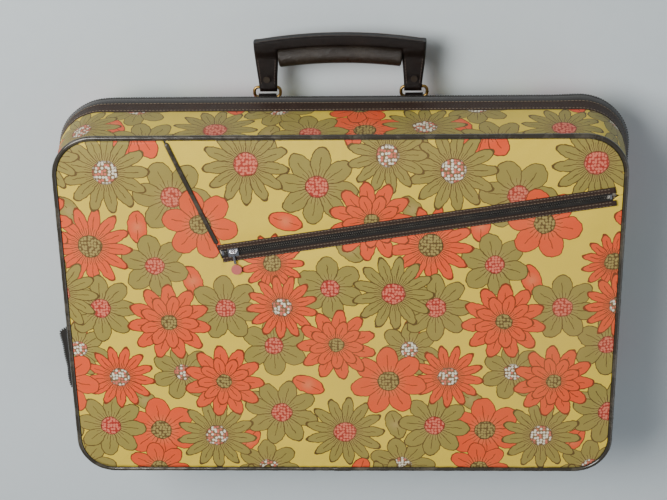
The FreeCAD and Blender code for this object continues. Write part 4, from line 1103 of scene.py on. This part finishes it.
@dataclass
class MainZip:
    """Zip round the case: bindings with stitches, tapes, teeth, and the run that is left open."""
    pitch: float = 0.0024
    open_top: float = -0.050
    open_low: float = -0.142
    open_out: float = 0.0195
    body_binding: tuple[float, float] = (0.0446, 0.0516)
    lid_binding: tuple[float, float] = (0.0660, 0.0800)
    body_tape: tuple[float, float] = (0.0515, 0.0541)
    lid_tape: tuple[float, float] = (0.0579, 0.0661)
    body_root: float = 0.0538
    lid_root: float = 0.0582

    def route(self, count: int = 1400) -> Route:
        """The outline without the hinge at the middle of the bottom."""
        whole = FORM.outline(count)
        return whole.part((np.abs(whole.places[:, 0]) > FORM.zip_end_half) | (whole.places[:, 1] > 0))

    def in_open_run(self, places: np.ndarray) -> np.ndarray:
        """Where the left side's zip is open."""
        return (places[:, 0] < 0) & (places[:, 1] > self.open_low) & (places[:, 1] < self.open_top)

    def stretches(self, route: Route) -> list[Route]:
        """The route in two parts, above and below the open run."""
        shut = self.in_open_run(route.places)
        first = int(np.argmax(shut))
        last = len(shut) - int(np.argmax(shut[::-1]))
        before = np.arange(len(shut)) < first
        after = np.arange(len(shut)) >= last
        return [route.part(before), route.part(after)]

    @staticmethod
    def proud(route: Route, level: np.ndarray) -> np.ndarray:
        """Flange offset at each place and level: whole at the teeth, fading across the bindings."""
        share = np.minimum(smooth(0.0446, 0.0512, level), 1 - smooth(0.0585, 0.0785, level))
        return FORM.flange(route)[:, None] * share[None]

    def teeth(self, route: Route, root: float, way: float, phase: float) -> MeshStock:
        """One row of teeth: blocks at an even pitch, each rooted in its tape and reaching past the middle."""
        length = route.along[-1] - route.along[0]
        at = route.along[0] + self.pitch * (np.arange(int(length / self.pitch)) + phase)
        at = at[at < route.along[-1]]
        places = FORM.wall(route, FORM.flange(route)[:, None], root)[:, 0]
        spots = sample(at, route.along, places)
        out = unit(sample(at, route.along, route.outward))
        up = np.tile([0.0, 0.0, way], (len(at), 1))
        ahead = np.cross(out, up)
        shape, quads = brick(0.00145, 0.0021, 0.0023, 0.7)
        return MeshStock().copies(shape, quads, spots, np.stack([ahead, out, up], 1))

    def build(self) -> list[bpy.types.Object]:
        """Bindings, tapes and teeth of both halves, the open run and the stitches."""
        made = []
        whole, route = FORM.outline(760), self.route()
        for name, body, low, high in (("body_zip_binding", "rear_half", *self.body_binding),
                                      ("lid_zip_binding", "lid", *self.lid_binding)):
            profile = round_bar(low, high, -0.0012, 0.0006, 0.00045)
            wave = 0.00009 * np.sin(whole.along * 2 * math.pi / 0.011)[:, None] * np.ones(len(profile))
            piece = hoop_piece(whole, profile, name + "_vinyl", STRIP, body, "strip_vinyl",
                               swell=wave + self.proud(whole, profile[:, 1]))
            outward(piece)
            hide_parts(name)
            made.append(piece)
            for row, level in enumerate((low + 0.0014, high - 0.0014)):
                out = 0.00066 + self.proud(whole, np.array([level]))
                line = stitches(whole, out, level, 0.0034, 0.0024, 0.00062)
                made.append(line.build(f"{name}_stitches_{row + 1}", THREAD, body, "strip_vinyl"))
        body_tape = round_bar(*self.body_tape, -0.0004, 0.0004, 0.0003, 3)
        piece = hoop_piece(route, body_tape, "body_zip_tape_weave", TAPE, "rear_half", "zip_tape",
                           swell=FORM.flange(route)[:, None])
        outward(piece)
        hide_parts("body_zip_tape")
        made.append(piece)
        row = self.teeth(route, self.body_root, 1.0, 0.0)
        made.append(row.build("body_zip_teeth_row", TEETH, "rear_half", "zip_teeth", crisp=True))
        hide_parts("body_zip_teeth")
        lid_tape = round_bar(*self.lid_tape, -0.0004, 0.0004, 0.0003, 3)
        for number, stretch in enumerate(self.stretches(route)):
            tape = hoop_piece(stretch, lid_tape, f"lid_zip_tape_weave_{number + 1}", TAPE, "lid", "zip_tape",
                              swell=self.proud(stretch, lid_tape[:, 1]))
            outward(tape)
            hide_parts("lid_zip_tape")
            row = self.teeth(stretch, self.lid_root, -1.0, 0.5)
            teeth = row.build(f"lid_zip_teeth_row_{number + 1}", TEETH, "lid", "zip_teeth", crisp=True)
            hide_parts("lid_zip_teeth")
            made += [tape, teeth]
        made += self.open_run()
        return made

    def open_run(self) -> list[bpy.types.Object]:
        """Loose tape: it leaves the binding's edge, opens at once under the slider, and narrows downwards."""
        t = np.linspace(0, 1, 150)
        v = np.linspace(0, 1, 18)
        y = self.open_low + t * (self.open_top - self.open_low)
        spread = smooth(-0.03, 0.2, t) * (0.62 + 0.38 * t) * (1 - smooth(0.86, 1.0, t) * 0.97)
        spread = np.maximum(spread, 0.03)
        wall_x = -(FORM.wide / 2 - FORM.inset(0.0662))
        wave = 0.0006 * np.sin(t * 9.5) + 0.0004 * np.sin(t * 23 + 1)
        out = (v[None] * (self.open_out + wave[:, None])) * spread[:, None]
        x = wall_x - out
        drop = 0.0050 * np.sin(v * math.pi / 2)[None] + 0.0026 * v[None] * (1 - spread[:, None])
        z = 0.0662 - drop - 0.0008 * v[None] ** 2 * spread[:, None] * np.sin(t * 7 + 1)[:, None]
        points = np.stack([x, np.broadcast_to(y[:, None], x.shape), z], -1)
        uv = np.stack(np.broadcast_arrays(y[:, None], v[None] * self.open_out), -1)
        stock = MeshStock().grid(points, uv, flip=True)
        piece = stock.build("lid_zip_open_run_weave", TAPE, "lid", "zip_tape")
        thicken(piece, 0.0007)
        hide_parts("lid_zip_open_run")
        edge = points[:, -1]
        length = np.concatenate([[0], np.cumsum(np.linalg.norm(np.diff(edge, axis=0), axis=1))])
        at = np.arange(self.pitch / 2, length[-1], self.pitch)
        spots = sample(at, length, edge)
        ahead = unit(sample(at, length, np.gradient(edge, axis=0)))
        up = np.tile([0.0, 0.0, 1.0], (len(at), 1))
        out = unit(np.cross(up, ahead))
        shape, quads = brick(0.00145, 0.0021, 0.0019, 0.7)
        frames = np.stack([ahead, np.cross(out, ahead), out], 1)
        teeth = MeshStock().copies(shape, quads, spots - out * 0.0004 - up * 0.00035, frames)
        row = teeth.build("lid_zip_open_run_teeth", TEETH, "lid", "zip_teeth", crisp=True)
        outward(row)
        return [piece, row]


@dataclass
class HingeStrip:
    """Vinyl strip that joins the halves along the bottom."""
    low: float = 0.0509
    high: float = 0.0667
    half: float = 0.206
    thick: float = 0.0008

    def build(self) -> bpy.types.Object:
        """Strip of two gentle rolls across its width, with small creases along the fold."""
        x = np.linspace(-self.half, self.half, 260)[:, None]
        t = np.linspace(0, 1, 22)[None]
        level = self.low + t * (self.high - self.low) + 0 * x
        crease = 0.00010 * np.sin(x * 2 * math.pi / 0.017) * np.sin(math.pi * t)
        y = -(FORM.tall / 2 - FORM.inset(level)) - 0.0002 - 0.00045 * np.sin(math.pi * t) + crease
        points = np.stack([x + 0 * t, y, level], -1)
        uv = np.stack([x + 0 * t, level], -1)
        piece = MeshStock().grid(points, uv).build("hinge_strip_vinyl", STRIP)
        thicken(piece, self.thick)
        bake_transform(piece)
        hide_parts("hinge_strip")
        return piece


@dataclass
class PocketZip:
    """Slanting zip of the front pocket: bindings, tapes, teeth, stitches, the seam's cord and the bag."""
    face: FrontFace = field(default_factory=FrontFace)
    pitch: float = 0.0021
    binding_low: float = 0.1379
    binding_high: float = 0.1394

    def point(self, along: np.ndarray, across: np.ndarray, level: np.ndarray) -> np.ndarray:
        """Place on the slanting zip, from lengths along and across it and a level."""
        c, s = math.cos(self.face.slant), math.sin(self.face.slant)
        along, across, level = np.broadcast_arrays(along, across, level)
        return np.stack([self.face.left_x + along * c - across * s, self.face.left_y + along * s + across * c,
                         level], -1)

    def axes(self, count: int, flip: bool = False) -> np.ndarray:
        """Frames along the zip: along, across, up."""
        c, s = math.cos(self.face.slant), math.sin(self.face.slant)
        turn = -1.0 if flip else 1.0
        one = np.array([[c * turn, s * turn, 0], [-s * turn, c * turn, 0], [0, 0, 1.0]])
        return np.tile(one, (count, 1, 1))

    def strip(self, name: str, low: float, high: float, bottom: float, top: float, bead: float,
              finish: Finish, slot: str, start: float, end: float) -> bpy.types.Object:
        """Rounded strip along the zip between two distances across it, in metres."""
        profile = round_bar(low, high, bottom, top, bead, 4)
        along = np.linspace(start, end, 260)
        wave = 0.00010 * np.sin(along * 2 * math.pi / 0.013)[:, None]
        level = profile[None, :, 0] + wave * (profile[None, :, 0] > bottom + bead)
        points = self.point(along[:, None], profile[None, :, 1], level)
        stock = MeshStock().grid(points, wrap_v=True)
        close_end(stock, points[0], True)
        close_end(stock, points[-1], False)
        piece = stock.build(name, finish, "lid", slot)
        weld(piece)
        outward(piece)
        return piece

    def build(self) -> list[bpy.types.Object]:
        """Both sides of the zip from the tape outwards."""
        made = []
        run = self.face.run
        for side, way in (("upper", 1.0), ("lower", -1.0)):
            near, far = sorted((way * 0.0038, way * 0.0092))
            binding = self.strip(f"pocket_zip_binding_{side}_vinyl", near, far, self.binding_low,
                                 self.binding_high, 0.0004, STRIP, "strip_vinyl", -0.0022, run + 0.0035)
            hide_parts(f"pocket_zip_binding_{side}")
            inner, outer = sorted((way * 0.0016, way * 0.0056))
            tape = self.strip(f"pocket_zip_tape_{side}_weave", inner, outer, 0.1369, 0.1379, 0.00025, TAPE,
                              "zip_tape", -0.0006, run + 0.0006)
            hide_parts(f"pocket_zip_tape_{side}")
            count = int((run - 0.006) / self.pitch)
            along = 0.003 + self.pitch * (np.arange(count) + (0.5 if way > 0 else 0.0))
            shape, quads = brick(0.0012, 0.0030, 0.0014, 0.72)
            spots = self.point(along, way * 0.0011, np.full(count, 0.1372))
            teeth = MeshStock().copies(shape, quads, spots, self.axes(count))
            row = teeth.build(f"pocket_zip_teeth_{side}_row", TEETH, "lid", "zip_teeth", crisp=True)
            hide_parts(f"pocket_zip_teeth_{side}")
            made += [binding, tape, row]
            for line, across in enumerate((0.0049, 0.0081)):
                pitch = 0.0031
                count = int((run + 0.001) / pitch)
                along = -0.0005 + pitch * (np.arange(count) + 0.5)
                shape, quads = capsule(0.0022, 0.0006)
                spots = self.point(along, way * across, np.full(count, self.binding_high + 0.00008))
                thread = MeshStock().copies(shape, quads, spots, self.axes(count))
                name = f"pocket_zip_stitches_{side}_{line + 1}"
                made.append(thread.build(name, THREAD, "lid", "strip_vinyl"))
        made += [self.seam_cord(), self.pocket_bag()]
        return made

    def seam_cord(self) -> bpy.types.Object:
        """Thin cord up the slanting seam, from the zip's end to the front piping."""
        low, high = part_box("pocket_slant_piping")
        t = np.linspace(0, 1, 90)
        start, end = np.array([high.x - 0.0017, low.y + 0.0010]), np.array([low.x + 0.0014, high.y + 0.0012])
        x, y = start[0] + t * (end[0] - start[0]), start[1] + t * (end[1] - start[1])
        z = self.face.height(x, y) + 0.0005
        z[0:2] -= 0.0006
        centre = np.stack([x, y, z], 1)
        radius = 0.0023 * np.sqrt(np.clip(np.minimum(t, 1 - t) * 60, 0.02, 1))
        points = tube(centre, radius, 14)
        piece = closed_rod(points, "pocket_slant_piping_cord", CORD, "lid", "piping_vinyl")
        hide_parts("pocket_slant_piping")
        return piece

    def pocket_bag(self) -> bpy.types.Object:
        """Flat cloth pouch under the main panel, hemmed to the zip's lower side: two plies."""
        low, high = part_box("pocket_lining")
        x = np.linspace(low.x + 0.001, high.x - 0.001, 110)
        top = self.face.zip_y(np.maximum(x, self.face.left_x)) - 0.0005
        share = np.concatenate([np.linspace(0, 1, 46), np.linspace(1, 0, 46)[1:-1]])
        y = (low.y + 0.001) + share[None] * (top - low.y - 0.001)[:, None]
        puff = np.sin(math.pi * share)[None] * np.sin(math.pi * np.linspace(0, 1, 110))[:, None] ** 0.6
        side = np.where(np.arange(len(share)) < 46, 1.0, -1.0)[None]
        middle = (low.z + high.z) / 2 + 0.0008
        grid_x = np.broadcast_to(x[:, None], y.shape)
        z = middle + side * (0.00025 + 0.0009 * puff) + 0.0003 * ripple(grid_x, y, 41, 7, 40.0) * puff
        points = np.stack([grid_x, y, z], -1)
        uv = np.stack([grid_x, y], -1)
        uv = np.concatenate([uv, uv[:, :1]], 1)
        piece = closed_rod(points, "pocket_lining_bag", LINING, "lid", "lining_cloth", uv)
        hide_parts("pocket_lining")
        return piece


@dataclass
class Handle:
    """Carrying handle: an arched strap with two legs round the rings, over a stuffed grip roll."""
    level: float = 0.038
    arch_radius: float = 0.4838
    arch_y: float = -0.2395
    half: float = 0.082
    deep: float = 0.010
    thick: float = 0.015
    leg_x: float = 0.0705
    leg_thick: float = 0.009
    foot: float = 0.0168
    head: float = 0.0234
    leg_low: float = 0.1873
    leg_high: float = 0.2377
    roll_radius: float = 0.009
    roll_path: float = 0.4647
    roll_half: float = 0.0596

    def section(self, wide: np.ndarray, deep: np.ndarray, sides: int, power: float) -> np.ndarray:
        """Rounded rectangle as a superellipse: cosine and sine raised to a power, signs kept."""
        turn = np.arange(sides) * 2 * math.pi / sides
        c, s = np.cos(turn), np.sin(turn)
        across = np.sign(c) * np.abs(c) ** power
        through = np.sign(s) * np.abs(s) ** power
        return np.stack([wide[:, None] * across[None] / 2, deep[:, None] * through[None] / 2], -1)

    def on_arch(self, turn: np.ndarray, radius: np.ndarray, level: np.ndarray) -> np.ndarray:
        """Place on the handle's arch, from an angle off its crown, a radius and a level."""
        height = self.arch_y + radius * np.cos(turn)
        return np.stack(np.broadcast_arrays(radius * np.sin(turn), height, level), -1)

    def band(self) -> bpy.types.Object:
        """Top strap along the arch; its ends round off over the legs."""
        reach = math.asin(self.half / self.arch_radius)
        t = np.linspace(-1, 1, 150)
        turn = reach * t
        tail = np.sqrt(np.clip((1 - np.abs(t)) / 0.02, 0.0, 1))
        part = self.section(self.thick * (0.9 + 0.1 * tail), self.deep * (0.72 + 0.28 * tail), 40, 0.36)
        middle = self.arch_radius - self.deep / 2 - 0.0004 * (1 - tail)
        radius = middle[:, None] + part[..., 1] + 0.00012 * np.sin(t * 61)[:, None]
        points = self.on_arch(turn[:, None], radius, self.level + part[..., 0])
        piece = closed_rod(points, "handle_strap", BROWN, "handle", "brown_vinyl")
        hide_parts("handle_cover")
        return piece

    def leg_middle(self, t: np.ndarray) -> np.ndarray:
        """Middle of a leg from foot to head: it stands a little outwards at its head."""
        return self.leg_x - 0.0012 + 0.0012 * t

    def leg(self, side: str, way: float) -> bpy.types.Object:
        """Leg that widens upwards: it folds round the ring's bar and thickens to meet the band."""
        t = np.linspace(0, 1, 70)
        y = self.leg_low + t * (self.leg_high - self.leg_low)
        wide = self.foot + (self.head - self.foot) * smooth(0.0, 1.0, t) ** 0.8
        foot = np.sqrt(np.clip(t / 0.085, 0.0, 1))
        thick = self.leg_thick * np.maximum(foot, 0.12) * (1 - 0.16 * np.exp(-((t - 0.24) / 0.08) ** 2))
        thick = thick + (self.thick - 0.0001 - self.leg_thick) * smooth(0.66, 0.86, t)
        part = self.section(wide, thick, 36, 0.38)
        x = way * self.leg_middle(t)[:, None] + part[..., 0]
        points = np.stack(np.broadcast_arrays(x, y[:, None], self.level + part[..., 1]), -1)
        piece = closed_rod(points, f"handle_leg_{side}", BROWN, "handle", "brown_vinyl")
        return piece

    def roll(self) -> bpy.types.Object:
        """Stuffed roll under the band, with rounded ends, slight dents and a seam along its top."""
        t = np.linspace(-1, 1, 140)
        turn = self.roll_half / self.roll_path * t
        ends = np.maximum(1 - np.clip((np.abs(t) - 0.96) / 0.04, 0, 1) ** 3, 0.0004) ** 0.5
        ends = 0.25 * (ends > 0) + 0.75 * ends
        around = np.arange(48) * 2 * math.pi / 48
        seam = np.exp(-((np.abs(around - math.pi / 2)) / 0.10) ** 2)
        dent = 0.00012 * ripple(t[:, None] * 0.06, around[None] * 0.009, 51, 9, 60.0)
        girth = (self.roll_radius + 0.0004) * ends[:, None] * (1 - 0.08 * seam[None]) + dent
        girth = np.maximum(girth, 0.0001)
        radius = self.roll_path + girth * np.sin(around)[None]
        points = self.on_arch(turn[:, None], radius, self.level + girth * np.cos(around)[None])
        piece = closed_rod(points, "handle_grip_roll", ROLL, "handle", "brown_vinyl")
        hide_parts("handle_padding")
        return piece

    def threads(self) -> list[bpy.types.Object]:
        """Stitch lines: along both edges of the band's outer face, and down both edges of each leg."""
        made = []
        shape, quads = capsule(0.0024, 0.0006)
        reach = math.asin(self.half / self.arch_radius) * 0.955
        count = 58
        turn = np.linspace(-reach, reach, count)
        for number, shift in enumerate((-0.0048, 0.0048)):
            spots = self.on_arch(turn, self.arch_radius - 0.00002, self.level + shift)
            ahead = np.stack([np.cos(turn), -np.sin(turn), 0 * turn], 1)
            out = np.stack([np.sin(turn), np.cos(turn), 0 * turn], 1)
            frames = np.stack([ahead, np.cross(out, ahead), out], 1)
            row = MeshStock().copies(shape, quads, spots, frames)
            name = f"handle_strap_stitches_{number + 1}"
            made.append(row.build(name, THREAD_DARK, "handle", "brown_vinyl"))
        for side, way in (("left", -1.0), ("right", 1.0)):
            spots, frames = [], []
            for edge in (-1.0, 1.0):
                t = np.linspace(0.20, 0.64, 9)
                wide = self.foot + (self.head - self.foot) * smooth(0.0, 1.0, t) ** 0.8
                for face in (-1.0, 1.0):
                    x = way * self.leg_middle(t) + edge * (wide / 2 - 0.0026)
                    y = self.leg_low + t * (self.leg_high - self.leg_low)
                    z = self.level + face * (self.leg_thick / 2 - 0.00018 + 0 * t)
                    spots.append(np.stack([x, y, z], 1))
                    frame = np.array([[0, 1.0, 0], [-face, 0, 0], [0, 0, face]])
                    frames.append(np.tile(frame, (len(t), 1, 1)))
            row = MeshStock().copies(shape, quads, np.concatenate(spots), np.concatenate(frames))
            made.append(row.build(f"handle_leg_stitches_{side}", THREAD_DARK, "handle", "brown_vinyl"))
        return made

    def build(self) -> list[bpy.types.Object]:
        """Band, legs, roll and stitches; the rings, rivets and steel core are the frame's own."""
        return [self.band(), self.leg("left", -1.0), self.leg("right", 1.0), self.roll(), *self.threads()]


@dataclass
class PackingStraps:
    """Two webbing straps across the floor to a flat buckle."""
    level: float = 0.0049
    wide: float = 0.024
    y: float = 0.040

    def build(self) -> list[bpy.types.Object]:
        """Each strap is a long grid with shallow waves that stay just above the lining."""
        made = []
        for side, way in (("left", -1.0), ("right", 1.0)):
            low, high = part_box(f"packing_strap_{side}")
            x = np.linspace(low.x, high.x, 180)[:, None]
            v = np.linspace(-0.5, 0.5, 14)[None]
            depth = np.minimum(x - low.x, high.x - x)
            wave = 0.0006 * (1 + ripple(x, v * 0.02, 61 if way > 0 else 62, 7, 45.0)) * smooth(0, 0.03, depth)
            y = self.y + v * self.wide + 0.0003 * np.sin(x * 37)
            z = self.level + 0.0013 + wave + 0 * v
            points = np.stack([x + 0 * v, y, z], -1)
            stock = MeshStock().grid(points, points[..., :2])
            piece = stock.build(f"packing_strap_{side}_web", WEBBING, "rear_half", "strap_webbing")
            thicken(piece, 0.0012)
            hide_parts(f"packing_strap_{side}")
            made.append(piece)
        return made


def dress_frame(frame: dict) -> None:
    """Give every frame node that still shows the finish of its material slot."""
    finishes = {"ring_brass": BRASS, "slider_metal": PLATED, "rivet_metal": PLATED, "fibreboard": BOARD,
                "core_steel": STEEL, "brown_vinyl": BROWN, "stud_plastic": STUD, "tag_enamel": ENAMEL,
                "piping_vinyl": CORD, "strip_vinyl": STRIP, "zip_tape": TAPE, "zip_teeth": TEETH,
                "lining_cloth": LINING, "wadding": WADDING, "strap_webbing": WEBBING, "floral_fabric": CLOTH}
    for label, node in frame["nodes"].items():
        for place, held in enumerate(node.data.materials):
            name = held.name.split(".")[0] if held else ""
            finish = STUD if label == "handle_end_rivets" else finishes.get(name, BOARD)
            node.data.materials[place] = finish.material()


@dataclass
class Studio:
    """Pale floor, soft lights and the camera."""
    target: tuple[float, float, float] = (-0.006, 0.065, 0.138)
    distance: float = 1.50
    lean: float = math.radians(24.8)
    pan: float = math.radians(2.2)
    roll: float = math.radians(-1.1)
    lens: float = 86.36

    def floor(self) -> None:
        """Wide flat floor just under the case."""
        x = np.linspace(-4, 4, 3)[:, None]
        y = np.linspace(-4, 4, 3)[None]
        points = np.stack(np.broadcast_arrays(x, y, -0.0002), -1)
        piece = MeshStock().grid(points).build("floor", FLOOR)

    def light(self, name: str, place: Sequence[float], size: float, power: float, tint: Colour) -> None:
        """Square soft light aimed at the case."""
        data = bpy.data.lights.new(name, "AREA")
        data.size, data.energy, data.color = size, power, tint
        lamp = bpy.data.objects.new(name, data)
        bpy.context.collection.objects.link(lamp)
        lamp.location = place
        aim = Vector(self.target) - Vector(place)
        lamp.rotation_euler = aim.to_track_quat("-Z", "Y").to_euler()

    def build(self) -> None:
        """Place everything that is not part of the case."""
        self.floor()
        self.light("key_light", (-0.9, 0.75, 1.6), 0.9, 46.0, (1.0, 0.98, 0.95))
        self.light("fill_light", (1.6, -0.7, 1.4), 1.6, 9.0, (0.95, 0.97, 1.0))
        world = bpy.data.worlds.new("studio")
        world.use_nodes = True
        world.node_tree.nodes["Background"].inputs[0].default_value = (0.86, 0.92, 1.0, 1.0)
        world.node_tree.nodes["Background"].inputs[1].default_value = 0.24
        bpy.context.scene.world = world
        data = bpy.data.cameras.new("camera")
        data.lens, data.sensor_width = self.lens, 36.0
        camera = bpy.data.objects.new("camera", data)
        bpy.context.collection.objects.link(camera)
        away = Vector((math.sin(self.pan) * math.cos(self.lean), math.sin(self.lean),
                       math.cos(self.pan) * math.cos(self.lean)))
        right = (-away).cross(Vector((0, 1, 0))).normalized()
        up = right.cross(-away)
        across = right * math.cos(self.roll) + up * math.sin(self.roll)
        over = -right * math.sin(self.roll) + up * math.cos(self.roll)
        turn = Matrix((across, over, away)).transposed().to_4x4()
        camera.matrix_world = Matrix.Translation(Vector(self.target) + away * self.distance) @ turn
        bpy.context.scene.camera = camera


def main(frame: dict) -> None:
    """Build every sub-assembly in order and report each."""
    dress_frame(frame)
    Studio().build()
    Gusset("lid_gusset_cover", "lid", 0.0799, 0.1336, 0.0011, 11, (0.03, 0.11)).build()
    Gusset("body_gusset_cover", "rear_half", 0.0051, 0.0448, 0.0007, 12, (0.17, -0.04)).build()
    Padding().build()
    FrontFace().build()
    BackFace().build()
    Lining("body_lining", "rear_half", 0.0509, 0.0040).build()
    Lining("lid_lining", "lid", 0.0611, 0.1272).build()
    Piping("front_piping", "lid", 0.136).build()
    Piping("back_piping", "rear_half", 0.0028, 0.0015).build()
    MainZip().build()
    HingeStrip().build()
    PocketZip().build()
    Handle().build()
    PackingStraps().build()


if __name__ == "__main__":
    logging.basicConfig(level=logging.INFO, format="%(name)s %(message)s")
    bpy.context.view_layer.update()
    main(frame)
